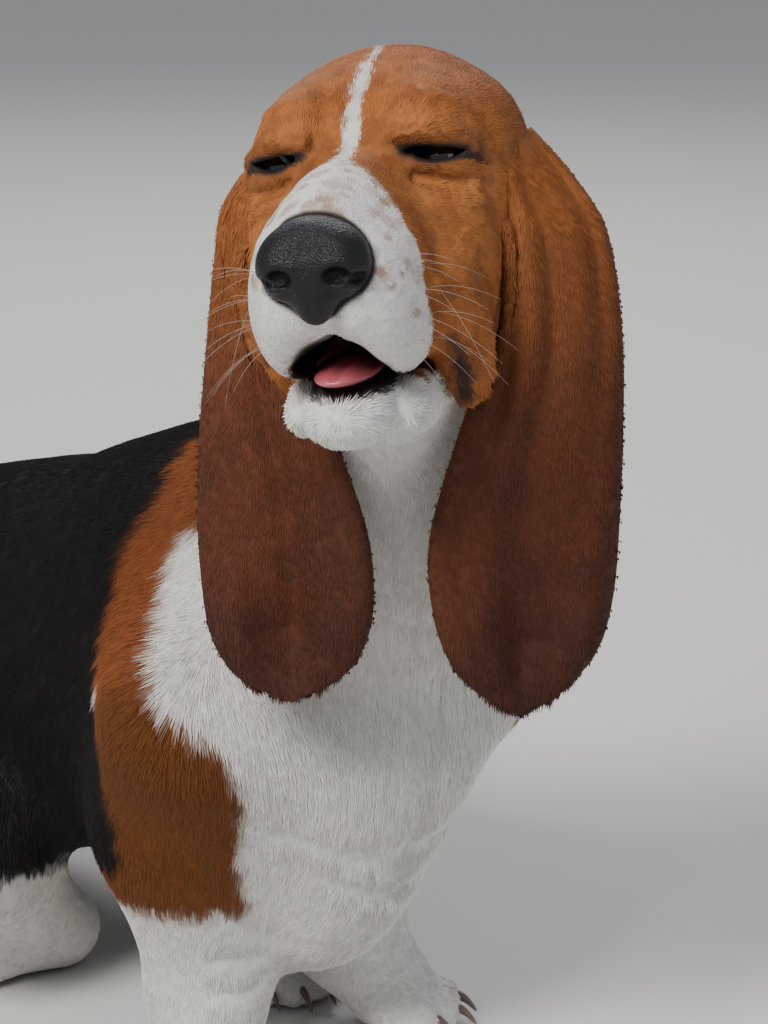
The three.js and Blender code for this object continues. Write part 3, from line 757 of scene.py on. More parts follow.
@dataclass(frozen=True)
class Markings:
    """The hound's markings, as functions of a place on its skin.

    Attributes:
        freckle_count: How many brown freckles the white muzzle has.
        seed: Seed of every random draw.
    """

    freckle_count: int = 90
    seed: int = 7

    def head(self, points: Array) -> Array:
        """Gives the colours of points on the head."""
        f, left, up = BONES.head_local(points).T
        wobble = noise(points, 26, self.seed) * 3
        colour = np.tile(TAN, (len(points), 1))
        light = sum(spot(points, BONES.on_head(16, side * 42, -16), 34, 40) for side in SIDES.values())
        colour = paint(colour, 0.45 * np.clip(light, 0, 1), LIGHT_TAN)
        colour = paint(colour, 0.6 * step(-f, 40, 60) * step(np.abs(left), 30, 30), DEEP_TAN)
        colour = paint(colour, 0.5 * step(noise(points, 18, 11), 0.25, 0.6), DEEP_TAN)
        # A thin blaze runs down the forehead into the white of the muzzle.
        half = np.interp(f, *BLAZE_WIDTHS)
        blaze = 1 - step(np.abs(left + 1.0) + 0.25 * wobble, half, 2.0)
        blaze = np.where((f < -64) | (up < 0), 0, blaze)
        white = np.maximum(blaze, step(f + 0.5 * wobble, np.interp(up, *MUZZLE_EDGE), 4.0))
        lip_drop = np.interp(f, *LIP_DROP) + 20 * step(np.abs(left), 34.5, 5)
        jaw = step(-up - lip_drop, 0, 3) * step(f, -18, 10)
        white = np.maximum(white, jaw)
        colour = paint(colour, white, WHITE)
        colour = self.freckles(points, f, left, up, colour)
        # Dark rims of the lips, mouth and eyes, with painted shade round each eye and in the crease at each
        # corner of the mouth.
        inner = Flesh(MOUTH).distance(points)
        lower_lip = 4.0 * step(-up, 80, 4)
        colour = paint(colour, 1 - step(inner, 1.8 + lower_lip, 2.4), LIP)
        slit = Flesh(EYE_SLITS).distance(points)
        # Painted shade: a soft darker brown round each eye slit stands in for the shade in the eye's socket
        # under the brow.
        colour = paint(colour, 0.6 * (1 - step(slit, 6.0, 9.0)), DEEP_TAN * 0.6)
        colour = paint(colour, 1 - step(slit, 1.2, 2.0), LIP)
        lips = Fold(LIP_LINE, 2.0, 1.0, True, True).push(points)
        colour = paint(colour, np.clip(1.5 * lips, 0, 0.9), LIP * 1.6)
        lashes = Fold(LASH_LINE, 1.9, 1.0, True, True).push(points)
        colour = paint(colour, np.clip(1.3 * lashes, 0, 0.92), LIP)
        # The mouth's corner is black lip skin. The dark along the crease behind the hanging lip, down the
        # cheek, is painted shade.
        corner = Fold(LIP_CORNER, 5.0, 1.0, True, True).push(points)
        colour = paint(colour, np.clip(1.8 * corner - 0.3, 0, 0.95), LIP)
        smudge = Fold(LIP_SMUDGE, 3.0, 1.0, True, True).push(points)
        colour = paint(colour, 0.55 * smudge * step(noise(points, 9, 21), -0.2, 0.8), FRECKLE)
        nose_edge = Flesh(NOSE).distance(points)
        return paint(colour, 1 - step(nose_edge, 1.5, 2.0), LIP)

    def freckles(self, points: Array, f: Array, left: Array, up: Array, colour: Array) -> Array:
        """Adds brown freckles over the white muzzle, and the rows of dark dots at the whiskers' roots.

        Args:
            points: Places in millimetres.
            f: How far ahead of the eyes each lies.
            left: How far to the left.
            up: How far up.
            colour: The colours so far.

        Returns:
            The colours with the freckles on them.
        """
        rng = np.random.default_rng(self.seed)
        on_muzzle = (f > 18) & (up < 8)
        muzzle = points[on_muzzle]
        local = np.stack([f, left, up], axis=1)[on_muzzle]
        shade = np.zeros(len(muzzle))
        for _ in range(self.freckle_count):
            centre = np.array([rng.uniform(30, 98), rng.uniform(-34, 34), 0.0])
            centre[2] = rng.uniform(-64, 2)
            size = rng.uniform(1.2, 3.6)
            # A freckle is a dot on the side or the top, whichever the skin faces there.
            offset = local - centre
            gap = np.linalg.norm(offset * [1, 1, 0.9], axis=1)
            side_gap = np.linalg.norm(offset[:, [0, 2]], axis=1) + FAR * (local[:, 1] * centre[1] < 0)
            top_gap = np.linalg.norm(offset[:, [0, 1]], axis=1) + FAR * (local[:, 2] < -16)
            near = np.minimum(np.minimum(gap, side_gap), top_gap)
            shade = np.maximum(shade, rng.uniform(0.35, 0.9) * (1 - step(near, size, 1.6)))
        colour[on_muzzle] = paint(colour[on_muzzle], shade * 0.8, FRECKLE)
        for centre in whisker_roots():
            dot = spot(points, centre, 1.2, 1.6)
            colour = paint(colour, 0.7 * dot, LIP * 2)
        return colour

    def body(self, points: Array) -> Array:
        """Gives the colours of points on the trunk, neck, legs and tail."""
        x, y, z = points.T
        wobble = noise(points, 60, self.seed + 1) * 10
        fine = noise(points, 14, self.seed + 2) * 2.5
        colour = np.tile(WHITE, (len(points), 1))
        # Black saddle over the back, sides and thighs, with a brown border before the white.
        ripple = wobble + fine
        saddle = step(y - np.interp(z, *SADDLE_EDGE) + 0.5 * ripple, 0, 5) * step(z, 44, 14)
        brown = step(y - np.interp(z, *NECK_EDGE) + 0.3 * ripple, 0, 7)
        brown *= step(z, 219, 12) * step(np.abs(x), 34, 16)
        colour = paint(colour, brown, DEEP_TAN * 1.15)
        neck_brown = step(z + 0.55 * y + 0.25 * np.abs(x) + 0.3 * ripple, 236, 12)
        colour = paint(colour, neck_brown, DEEP_TAN)
        throat = step(-(y + 0.35 * z), 96, 14) * (1 - step(np.abs(x + 6), 44, 10))
        colour = paint(colour, throat * step(z, 200, 40), WHITE)
        # The brown patch on the outer side of each upper arm.
        patch = step(np.abs(x) - np.interp(z, *ARM_PATCH_EDGE) + 0.3 * ripple, 0, 5)
        patch *= step(z + 0.3 * ripple, 114, 6)
        patch *= (1 - step(z, 240, 8)) * step(-y, 100, 10)
        colour = paint(colour, patch, TAN * 0.42)
        colour = paint(colour, saddle, BLACK)
        # White hind legs, and a black tail with a white tip.
        white_top = np.where(x < -30, np.interp(y, *HIND_WHITE_TOP), 56)
        hind_leg = (y > -60) & (y < 205)
        colour = paint(colour, hind_leg * (1 - step(z + fine, white_top, 8)), WHITE)
        tail_tip = step(x - 0.4 * y, 12, 14) * step(y, 215, 8)
        colour = paint(colour, step(y, 196, 8) * step(z + fine, 10, 8), BLACK)
        colour = paint(colour, tail_tip, WHITE)
        # Pads under the paws.
        colour = paint(colour, 1 - step(z, 3.0, 2.0), LIP)
        return colour

    def skin(self, points: Array) -> Array:
        """Gives the colours of points anywhere on the skin."""
        left = BONES.head_local(points)[:, 1]
        head = step(ahead_of_neck(points) + 0.2 * np.abs(left), -62, 3) * (points[:, 2] > HEAD_LOWEST)
        head = np.maximum(head, step(points[:, 2], 446, 4))
        colour = self.body(points)
        strong = head > 0
        colour[strong] = paint(colour[strong], head[strong], self.head(points[strong]))
        return colour

    def ear(self, points: Array, down: Array) -> Array:
        """Gives the colours of an ear, from its root down to its darker edge."""
        colour = np.tile(EAR_BROWN, (len(points), 1))
        colour = paint(colour, (1 - step(down, 0.26, 0.5)) * 0.75, TAN)
        blotch = step(noise(points, 55, self.seed + 4), 0.0, 1.6)
        colour = paint(colour, 0.4 * blotch * step(down, 0.4, 0.4), EAR_DARK)
        return paint(colour, 0.6 * step(down, 0.72, 0.5), EAR_DARK)


def whisker_roots() -> list[Array]:
    """Gives the places of the whiskers' roots, in rows along both sides of the muzzle."""
    roots = []
    for side in SIDES.values():
        for row in range(4):
            for n in range(4):
                forward = 88 - 9.5 * n - 2 * row
                out = side * (22 + 3.4 * n + 1.2 * row)
                roots.append(BONES.on_head(forward, out, -36 - 9.5 * row - 1.2 * n))
    return roots


# Shader groups and finishes


def linked(tree: NodeTree, kind: str, **values: object) -> Node:
    """Adds a node and sets or links its inputs by name or number.

    Args:
        tree: The node tree.
        kind: The node's type name.
        **values: Plain settings start with set_, inputs with in_ and a name or number.

    Returns:
        The new node.
    """
    node = tree.nodes.new(kind)
    for key, value in values.items():
        if key.startswith("set_"):
            setattr(node, key[4:], value)
    for key, value in values.items():
        if not key.startswith("in_"):
            continue
        name = key[3:]
        socket = node.inputs[int(name)] if name.isdigit() else node.inputs[name.replace("_", " ")]
        if isinstance(value, Socket):
            tree.links.new(value, socket)
        else:
            socket.default_value = value
    return node


def new_group(name: str, inputs: dict[str, tuple[str, object]], outputs: dict[str, str]) -> tuple:
    """Starts a shader node group with named inputs and outputs.

    Args:
        name: The group's name.
        inputs: Socket type and default of each input.
        outputs: Socket type of each output.

    Returns:
        The group, its input node and its output node.
    """
    group = bpy.data.node_groups.new(name, "ShaderNodeTree")
    for label, (kind, default) in inputs.items():
        socket = group.interface.new_socket(name=label, in_out="INPUT", socket_type=kind)
        socket.default_value = default
    for label, kind in outputs.items():
        group.interface.new_socket(name=label, in_out="OUTPUT", socket_type=kind)
    return group, group.nodes.new("NodeGroupInput"), group.nodes.new("NodeGroupOutput")


def combined(tree: NodeTree, operation: str, first: object, second: object, kind: str = "") -> Socket:
    """Adds a maths node for two values, or two vectors where kind is Vector, and gives its result."""
    return linked(tree, f"ShaderNode{kind}Math", set_operation=operation, in_0=first, in_1=second).outputs[0]


def mottle_group() -> NodeTree:
    """Builds the group that varies a colour in blotches and fine grain.

    Returns:
        The group, with a colour and a height coming out.
    """
    group, start, end = new_group(
        "mottle",
        {
            "Color": ("NodeSocketColor", (0.5, 0.5, 0.5, 1)),
            "Blotch Scale": ("NodeSocketFloat", 40.0),
            "Grain Scale": ("NodeSocketFloat", 900.0),
            "Amount": ("NodeSocketFloat", 0.25),
        },
        {"Color": "NodeSocketColor", "Height": "NodeSocketFloat"},
    )
    given = start.outputs
    place = linked(group, "ShaderNodeTexCoord").outputs["Object"]
    blotch, grain = (
        linked(group, "ShaderNodeTexNoise", in_Vector=place, in_Scale=given[scale], in_Detail=detail)
        for scale, detail in (("Blotch Scale", 3.0), ("Grain Scale", 2.0))
    )
    both = combined(group, "ADD", blotch.outputs[0], grain.outputs[0])
    signed = combined(group, "SUBTRACT", both, 1.0)
    scaled = combined(group, "MULTIPLY", signed, given["Amount"])
    factor = combined(group, "ADD", scaled, 1.0)
    tint = combined(group, "MULTIPLY", given["Color"], factor, "Vector")
    group.links.new(tint, end.inputs["Color"])
    group.links.new(grain.outputs[0], end.inputs["Height"])
    return group


def carried(tree: NodeTree, name: str, output: str = "Fac") -> Socket:
    """Reads an attribute that the piece's points carry."""
    return linked(tree, "ShaderNodeAttribute", set_attribute_name=name).outputs[output]


def new_material(name: str) -> tuple[Material, NodeTree, Node]:
    """Starts a material with a Principled shader.

    Returns:
        The material, its tree and its shader.
    """
    material = bpy.data.materials.new(name)
    material.use_nodes = True
    return material, material.node_tree, material.node_tree.nodes["Principled BSDF"]


def mottled(tree: NodeTree, shader: Node, mottle: NodeTree, colour: object, amount: float) -> Node:
    """Gives a shader its colour, varied by the shared group.

    Args:
        tree: The material's tree.
        shader: Its shader.
        mottle: The shared group.
        colour: A colour, or the socket that it comes from.
        amount: How far it varies.

    Returns:
        The group's node.
    """
    varied = linked(tree, "ShaderNodeGroup", set_node_tree=mottle, in_Color=colour, in_Amount=amount)
    tree.links.new(varied.outputs["Color"], shader.inputs["Base Color"])
    return varied


def bumped(tree: NodeTree, shader: Node, height: Socket, strength: float, depth: float) -> None:
    """Lets a height raise the shader's surface by up to a depth in metres."""
    bump = linked(tree, "ShaderNodeBump", in_Strength=strength, in_Distance=depth, in_Height=height)
    tree.links.new(bump.outputs[0], shader.inputs["Normal"])


@dataclass(frozen=True)
class FurFinish:
    """Short fur, coloured by the markings that its points carry.

    Attributes:
        name: The material's name.
        roughness: How dull it is.
        variation: How far a tuft's shade may differ from its neighbours'.
        bump: How deep its grain looks.
        is_coat: Whether it is for tufts, which carry a shade and a place along the hair.
    """

    name: str
    roughness: float = 0.62
    variation: float = 0.35
    bump: float = 0.35
    is_coat: bool = False

    def build(self, mottle: NodeTree) -> Material:
        """Builds the material.

        Args:
            mottle: The shared group that varies a colour.

        Returns:
            The finished material.
        """
        material, tree, shader = new_material(self.name)
        colour = carried(tree, "coat_colour", "Color")
        if self.is_coat:
            low, high = 1 - self.variation, 1 + self.variation
            shade, along = carried(tree, "shade"), carried(tree, "along")
            by_tuft = linked(tree, "ShaderNodeMapRange", in_Value=shade, in_To_Min=low, in_To_Max=high)
            by_length = linked(tree, "ShaderNodeMapRange", in_Value=along, in_To_Min=0.86, in_To_Max=1.14)
            factor = combined(tree, "MULTIPLY", by_tuft.outputs[0], by_length.outputs[0])
            colour = combined(tree, "MULTIPLY", colour, factor, "Vector")
        varied = mottled(tree, shader, mottle, colour, self.variation)
        shader.inputs["Roughness"].default_value = self.roughness
        shader.inputs["Specular IOR Level"].default_value = 0.2
        if not self.is_coat:
            bumped(tree, shader, varied.outputs["Height"], self.bump, 0.0008)
        return material


@dataclass(frozen=True)
class MoistFinish:
    """Bare moist skin, as on the nose and tongue.

    Attributes:
        name: The material's name.
        colour: Its linear colour.
        cell_scale: How many pebbles a metre has.
        bump: How deep they look.
        roughness: How dull it is.
        coat: How wet it is.
    """

    name: str
    colour: Triple
    cell_scale: float
    bump: float
    roughness: float
    coat: float

    def build(self, mottle: NodeTree) -> Material:
        """Builds the material, with pebbles from a cell pattern."""
        material, tree, shader = new_material(self.name)
        mottled(tree, shader, mottle, (*self.colour, 1), 0.5)
        place = linked(tree, "ShaderNodeTexCoord").outputs["Object"]
        cells = linked(tree, "ShaderNodeTexVoronoi", in_Vector=place, in_Scale=self.cell_scale)
        bumped(tree, shader, cells.outputs["Distance"], self.bump, 0.0006)
        dull = linked(
            tree,
            "ShaderNodeMapRange",
            in_Value=cells.outputs["Distance"],
            in_To_Min=self.roughness + 0.1,
            in_To_Max=self.roughness - 0.08,
        )
        tree.links.new(dull.outputs[0], shader.inputs["Roughness"])
        shader.inputs["Specular IOR Level"].default_value = 0.3
        shader.inputs["Coat Weight"].default_value = self.coat
        shader.inputs["Coat Roughness"].default_value = 0.12
        return material


@dataclass(frozen=True)
class EyeFinish:
    """A wet dark eye: a black pupil in a brown iris, in a dim white.

    Attributes:
        name: The material's name.
        pupil: Linear colour of the pupil.
        iris: Linear colour of the iris.
        rim: Linear colour of the iris's edge.
        white: Linear colour of the eye's white.
    """

    name: str
    pupil: Triple = (0.002, 0.002, 0.002)
    iris: Triple = (0.045, 0.016, 0.006)
    rim: Triple = (0.004, 0.003, 0.003)
    white: Triple = (0.10, 0.055, 0.045)

    def build(self, mottle: NodeTree) -> Material:
        """Builds the material from how far each point is from the eye's front."""
        material, tree, shader = new_material(self.name)
        ramp = linked(tree, "ShaderNodeValToRGB", in_Fac=carried(tree, "from_front"))
        stops = (
            (0.0, self.pupil),
            (0.26, self.pupil),
            (0.31, self.iris),
            (0.52, self.iris),
            (0.58, self.rim),
            (0.66, self.white),
            (1.0, self.white),
        )
        elements = ramp.color_ramp.elements
        while len(elements) < len(stops):
            elements.new(0.5)
        for element, (position, colour) in zip(elements, stops):
            element.position = position
            element.color = (*colour, 1)
        mottled(tree, shader, mottle, ramp.outputs[0], 0.4)
        shader.inputs["Roughness"].default_value = 0.12
        shader.inputs["Coat Weight"].default_value = 1.0
        shader.inputs["Coat Roughness"].default_value = 0.02
        return material


@dataclass(frozen=True)
class HornFinish:
    """Worn horn, darker at the root and streaked towards the tip.

    Attributes:
        name: The material's name.
        root: Linear colour at the root.
        tip: Linear colour at the tip.
        roughness: How dull it is.
    """

    name: str
    root: Triple
    tip: Triple
    roughness: float

    def build(self, mottle: NodeTree) -> Material:
        """Builds the material from how far along each point lies."""
        material, tree, shader = new_material(self.name)
        ramp = linked(tree, "ShaderNodeValToRGB", in_Fac=carried(tree, "along"))
        ramp.color_ramp.elements[0].color = (*self.root, 1)
        ramp.color_ramp.elements[1].color = (*self.tip, 1)
        mottled(tree, shader, mottle, ramp.outputs[0], 0.4)
        shader.inputs["Roughness"].default_value = self.roughness
        return material


@dataclass(frozen=True)
class StudioFinish:
    """The pale floor.

    Attributes:
        name: The material's name.
        colour: Its linear colour.
    """

    name: str
    colour: Triple

    def build(self, mottle: NodeTree) -> Material:
        """Builds the material."""
        material, tree, shader = new_material(self.name)
        mottled(tree, shader, mottle, (*self.colour, 1), 0.02)
        shader.inputs["Roughness"].default_value = 0.85
        return material


# Geometry Nodes


def nodes_mesh(piece: Object, tree: NodeTree, values: dict[str, object]) -> Mesh:
    """Runs a node tree on an object and gives the result as a plain mesh.

    Args:
        piece: The object that the tree starts from.
        tree: The tree.
        values: The tree's inputs by name.

    Returns:
        The result, with the modifier removed again.
    """
    modifier = piece.modifiers.new(tree.name, "NODES")
    modifier.node_group = tree
    for item in tree.interface.items_tree:
        if item.item_type == "SOCKET" and item.in_out == "INPUT" and item.name in values:
            modifier[item.identifier] = values[item.name]
    graph = bpy.context.evaluated_depsgraph_get()
    graph.update()
    evaluated = piece.evaluated_get(graph)
    mesh = bpy.data.meshes.new_from_object(evaluated, preserve_all_data_layers=True, depsgraph=graph)
    piece.modifiers.remove(modifier)
    return mesh


def new_tree(name: str, inputs: dict[str, tuple[str, object]]) -> tuple:
    """Starts a geometry node tree with a geometry and named inputs.

    Returns:
        The tree, its input node and its output node.
    """
    tree = bpy.data.node_groups.new(name, "GeometryNodeTree")
    tree.interface.new_socket(name="Geometry", in_out="INPUT", socket_type="NodeSocketGeometry")
    for label, (kind, default) in inputs.items():
        socket = tree.interface.new_socket(name=label, in_out="INPUT", socket_type=kind)
        if default is not None:
            socket.default_value = default
    tree.interface.new_socket(name="Geometry", in_out="OUTPUT", socket_type="NodeSocketGeometry")
    return tree, tree.nodes.new("NodeGroupInput"), tree.nodes.new("NodeGroupOutput")


def close_tree(tree: NodeTree, geometry: object, material: object, end: Node) -> None:
    """Gives the geometry its material and ends the tree with it."""
    dressed = linked(tree, "GeometryNodeSetMaterial", in_Geometry=geometry, in_Material=material)
    tree.links.new(dressed.outputs[0], end.inputs[0])


def named(tree: NodeTree, name: str, kind: str) -> Socket:
    """Reads an attribute of the geometry."""
    return linked(tree, "GeometryNodeInputNamedAttribute", set_data_type=kind, in_Name=name).outputs[0]


def coat_tree() -> NodeTree:
    """Builds the tree that grows tufts over a skin, lying along its coat.

    Returns:
        The tree. It reads the skin's lie, hair_length and zone attributes and its unwrap.
    """
    tree, start, end = new_tree(
        "grow_coat",
        {
            "Tufts": ("NodeSocketCollection", None),
            "Per Square Metre": ("NodeSocketFloat", 40000.0),
            "Seed": ("NodeSocketInt", 1),
            "Width": ("NodeSocketFloat", 1.0),
            "Lift": ("NodeSocketFloat", 1.0),
            "Patch": ("NodeSocketFloat", 0.003),
            "Material": ("NodeSocketMaterial", None),
        },
    )
    out = start.outputs

    def stored(geometry: Socket, name: str, kind: str, domain: str, value: object) -> object:
        """Writes an attribute of the geometry."""
        node = linked(
            tree,
            "GeometryNodeStoreNamedAttribute",
            set_data_type=kind,
            set_domain=domain,
            in_Geometry=geometry,
            in_Name=name,
            in_Value=value,
        )
        return node.outputs[0]

    density = combined(tree, "MULTIPLY", named(tree, "zone", "FLOAT"), out["Per Square Metre"])
    spread = linked(
        tree,
        "GeometryNodeDistributePointsOnFaces",
        in_Mesh=out["Geometry"],
        in_Density=density,
        in_Seed=out["Seed"],
    )
    unwrapped = named(tree, "unwrap", "FLOAT_VECTOR")
    points = stored(spread.outputs["Points"], "root_uv", "FLOAT_VECTOR", "POINT", unwrapped)
    random_shade = linked(tree, "FunctionNodeRandomValue", set_data_type="FLOAT", in_Seed=out["Seed"])
    points = stored(points, "shade", "FLOAT", "POINT", random_shade.outputs[1])
    jitter = linked(
        tree,
        "FunctionNodeRandomValue",
        set_data_type="FLOAT_VECTOR",
        in_0=(-0.15, -0.15, -0.15),
        in_1=(0.15, 0.15, 0.15),
        in_Seed=out["Seed"],
    )
    way = combined(tree, "ADD", named(tree, "lie", "FLOAT_VECTOR"), jitter.outputs[0], "Vector")
    turn = linked(
        tree,
        "FunctionNodeAxesToRotation",
        set_primary_axis="Z",
        set_secondary_axis="X",
        in_0=spread.outputs["Normal"],
        in_1=way,
    )
    size = linked(
        tree, "FunctionNodeRandomValue", set_data_type="FLOAT", in_2=0.75, in_3=1.25, in_Seed=out["Seed"]
    )
    length = combined(tree, "MULTIPLY", named(tree, "hair_length", "FLOAT"), size.outputs[1])
    lift = combined(tree, "MULTIPLY", length, out["Lift"])
    scale = linked(tree, "ShaderNodeCombineXYZ", in_X=length, in_Y=out["Width"], in_Z=lift)
    kinds = linked(
        tree,
        "GeometryNodeCollectionInfo",
        in_Collection=out["Tufts"],
        in_Separate_Children=True,
        in_Reset_Children=True,
    )
    placed = linked(
        tree,
        "GeometryNodeInstanceOnPoints",
        in_Points=points,
        in_Instance=kinds.outputs[0],
        in_Pick_Instance=True,
        in_Rotation=turn.outputs[0],
        in_Scale=scale.outputs[0],
    )
    real = linked(tree, "GeometryNodeRealizeInstances", in_Geometry=placed.outputs[0])
    corner = named(tree, "patch", "FLOAT_VECTOR")
    patch = linked(tree, "ShaderNodeVectorMath", set_operation="SCALE", in_0=corner, in_Scale=out["Patch"])
    spot_uv = combined(tree, "ADD", named(tree, "root_uv", "FLOAT_VECTOR"), patch.outputs[0], "Vector")
    baked = stored(real.outputs[0], "OFBake", "FLOAT2", "CORNER", spot_uv)
    for name in ("root_uv", "patch", "lie", "hair_length", "zone", "unwrap"):
        baked = linked(tree, "GeometryNodeRemoveAttribute", in_Geometry=baked, in_Name=name).outputs[0]
    close_tree(tree, baked, out["Material"], end)
    return tree


def whisker_tree() -> NodeTree:
    """Builds the tree that gives drawn lines a tapering round section.

    Returns:
        The tree. It reads the lines' thickness attribute.
    """
    tree, start, end = new_tree(
        "draw_whiskers",
        {"Sides": ("NodeSocketInt", 4), "Material": ("NodeSocketMaterial", None)},
    )
    out = start.outputs
    curve = linked(tree, "GeometryNodeMeshToCurve", in_Mesh=out["Geometry"])
    section = linked(tree, "GeometryNodeCurvePrimitiveCircle", in_Resolution=out["Sides"], in_Radius=1.0)
    tube = linked(
        tree,
        "GeometryNodeCurveToMesh",
        in_Curve=curve.outputs[0],
        in_Profile_Curve=section.outputs[0],
        in_Scale=named(tree, "thickness", "FLOAT"),
        in_Fill_Caps=True,
    )
    real = linked(tree, "GeometryNodeRealizeInstances", in_Geometry=tube.outputs[0])
    close_tree(tree, real.outputs[0], out["Material"], end)
    return tree


def claw_tree() -> NodeTree:
    """Builds the tree that sets a claw on each point, turned the way its toe points.

    Returns:
        The tree. It reads the points' ahead attribute.
    """
    tree, start, end = new_tree(
        "set_claws",
        {
            "Claw": ("NodeSocketObject", None),
            "Size": ("NodeSocketFloat", 1.0),
            "Material": ("NodeSocketMaterial", None),
        },
    )
    out = start.outputs
    turn = linked(
        tree,
        "FunctionNodeAxesToRotation",
        set_primary_axis="Z",
        set_secondary_axis="X",
        in_0=(0.0, 0.0, 1.0),
        in_1=named(tree, "ahead", "FLOAT_VECTOR"),
    )
    claw = linked(tree, "GeometryNodeObjectInfo", in_Object=out["Claw"])
    placed = linked(
        tree,
        "GeometryNodeInstanceOnPoints",
        in_Points=out["Geometry"],
        in_Instance=claw.outputs["Geometry"],
        in_Rotation=turn.outputs[0],
        in_Scale=out["Size"],
    )
    real = linked(tree, "GeometryNodeRealizeInstances", in_Geometry=placed.outputs[0])
    close_tree(tree, real.outputs[0], out["Material"], end)
    return tree


# Places in the frame


@dataclass(frozen=True)
class Placement:
    """Where the hound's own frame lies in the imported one.

    Attributes:
        shift: What is added to a place in millimetres.
    """

    shift: Array

    @classmethod
    def from_eyes(cls) -> "Placement":
        """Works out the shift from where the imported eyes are.

        Returns:
            The placement.
        """
        centres = []
        for side in SIDES:
            low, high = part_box(f"eye_{side}")
            centres.append((np.array(low) + np.array(high)) / 2 / MM)
        known = [BONES.on_head(*EyePair.place(sign)) for sign in SIDES.values()]
        return cls(np.mean(centres, axis=0) - np.mean(known, axis=0))

    def metres(self, points: Array) -> Array:
        """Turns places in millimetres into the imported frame's metres."""
        return (points + self.shift) * MM


# How the coat lies

# Each guide is a place, the way that the coat lies there, and how far its pull reaches
LIE_GUIDES: tuple[tuple[Triple, Triple, float], ...] = (
    ((0, 230, 180), (0, 0.5, -1), 70),
    ((0, 120, 262), (0, 1, -0.25), 80),
    ((0, 0, 290), (0, 1, -0.3), 80),
    ((95, 60, 190), (0.1, 0.7, -0.8), 70),
    ((-95, 60, 190), (-0.1, 0.7, -0.8), 70),
    ((105, 40, 110), (0.1, -0.3, -1), 60),
    ((-105, 40, 110), (-0.1, -0.3, -1), 60),
    ((80, 130, 40), (0.2, -0.6, -0.8), 60),
    ((-80, 130, 40), (-0.2, -0.6, -0.8), 60),
    ((0, -90, 320), (0, 0.9, -0.6), 60),
    ((0, -150, 380), (0, 0.35, -1), 60),
    ((90, -90, 220), (0.1, 0.7, -0.8), 60),
    ((-90, -90, 220), (-0.1, 0.7, -0.8), 60),
    ((60, -220, 230), (-0.25, 0.1, -1), 50),
    ((-60, -220, 230), (0.25, 0.1, -1), 50),
    ((0, -240, 260), (0, 0, -1), 50),
    ((0, -230, 180), (0, 0.2, -1), 50),
    ((0, -170, 70), (0, 1, -0.4), 50),
    ((0, -60, 85), (0, 1, 0), 60),
    ((70, -140, 130), (0, 0, -1), 40),
    ((-70, -140, 130), (0, 0, -1), 40),
    ((46, -120, 60), (0, 0, -1), 30),
    ((-55, -132, 60), (0, 0, -1), 30),
    ((66, -150, 25), (0.6, -0.6, -0.5), 30),
    ((-66, -160, 25), (-0.25, -0.9, -0.5), 30),
    ((46, -66, 25), (-0.1, -1, -0.3), 30),
    ((-120, 46, 20), (-1, 0, -0.3), 30),
    ((20, 250, 30), (0.6, 0.8, -0.3), 30),
    ((110, 276, 12), (1, 0, 0), 30),
    ((-10, -215, 330), (0, 0, -1), 40),
)
HEAD_LIE_GUIDES: tuple[tuple[Triple, Triple, float], ...] = (
    ((100, 0, -10), (-1, 0, 0.1), 24),
    ((60, 0, 2), (-1, 0, 0.1), 26),
    ((20, 0, 14), (-0.8, 0, 0.7), 26),
    ((-10, 0, 36), (-1, 0, 0.5), 30),
    ((-60, 0, 44), (-1, 0, 0), 34),
    ((-110, 0, 20), (-0.6, 0, -1), 30),
    ((10, 44, 14), (-0.8, 0.6, 0.3), 22),
    ((10, -44, 14), (-0.8, -0.6, 0.3), 22),
    ((-10, 52, -14), (-1, 0.1, -0.4), 26),
    ((-10, -52, -14), (-1, -0.1, -0.4), 26),
    ((20, 44, -40), (-0.8, 0.1, -0.7), 26),
    ((20, -44, -40), (-0.8, -0.1, -0.7), 26),
    ((60, 36, -40), (-0.7, 0.2, -0.7), 22),
    ((60, -36, -40), (-0.7, -0.2, -0.7), 22),
    ((94, 16, -50), (-0.4, 0.5, -0.8), 16),
    ((94, -16, -50), (-0.4, -0.5, -0.8), 16),
    ((70, 0, -108), (-1, 0, -0.3), 26),
    ((20, 0, -112), (-1, 0, -0.4), 30),
    ((-20, 40, -80), (-0.7, 0, -0.9), 30),
    ((-20, -40, -80), (-0.7, 0, -0.9), 30),
)


# A guide's pull falls with this power of the distance, from a core of even pull
GUIDE_FALL = 2.2
GUIDE_CORE = 0.05


def coat_lie(points: Array, normals: Array) -> Array:
    """Gives the way that the coat lies at each point, along the skin.

    Args:
        points: Places in millimetres.
        normals: The skin's normals there.

    Returns:
        One unit vector for each point.
    """
    axes = BONES.head_axes()
    total = np.zeros_like(points)
    guides = [(np.array(place, float), np.array(way, float), size) for place, way, size in LIE_GUIDES]
    for place, way, size in HEAD_LIE_GUIDES:
        guides.append((BONES.on_head(*place), np.array(way, float) @ axes, size))
    for place, way, size in guides:
        gap = np.einsum("ij,ij->i", points - place, points - place) / size**2
        weight = 1 / (GUIDE_CORE + gap) ** GUIDE_FALL
        total += weight[:, None] * (way / np.linalg.norm(way))
    total += 0.0001
    total -= normals * np.einsum("ij,ij->i", total, normals)[:, None]
    return total / np.maximum(np.linalg.norm(total, axis=1), 1e-9)[:, None]


def hair_lengths(points: Array) -> Array:
    """Gives the coat's length in millimetres at each point: shortest on the face and feet."""
    f, _, up = BONES.head_local(points).T
    z = points[:, 2]
    body = np.interp(z, *BODY_HAIR)
    chin = step(-up, 84, 8) * step(f, -20, 30)
    head = np.interp(f, *HEAD_HAIR) + 2.0 * chin
    share = step(ahead_of_neck(points), -75, 40) * step(z, HEAD_LOWEST + 10, 20)
    return body + share * (head - body)


# Sub-assemblies


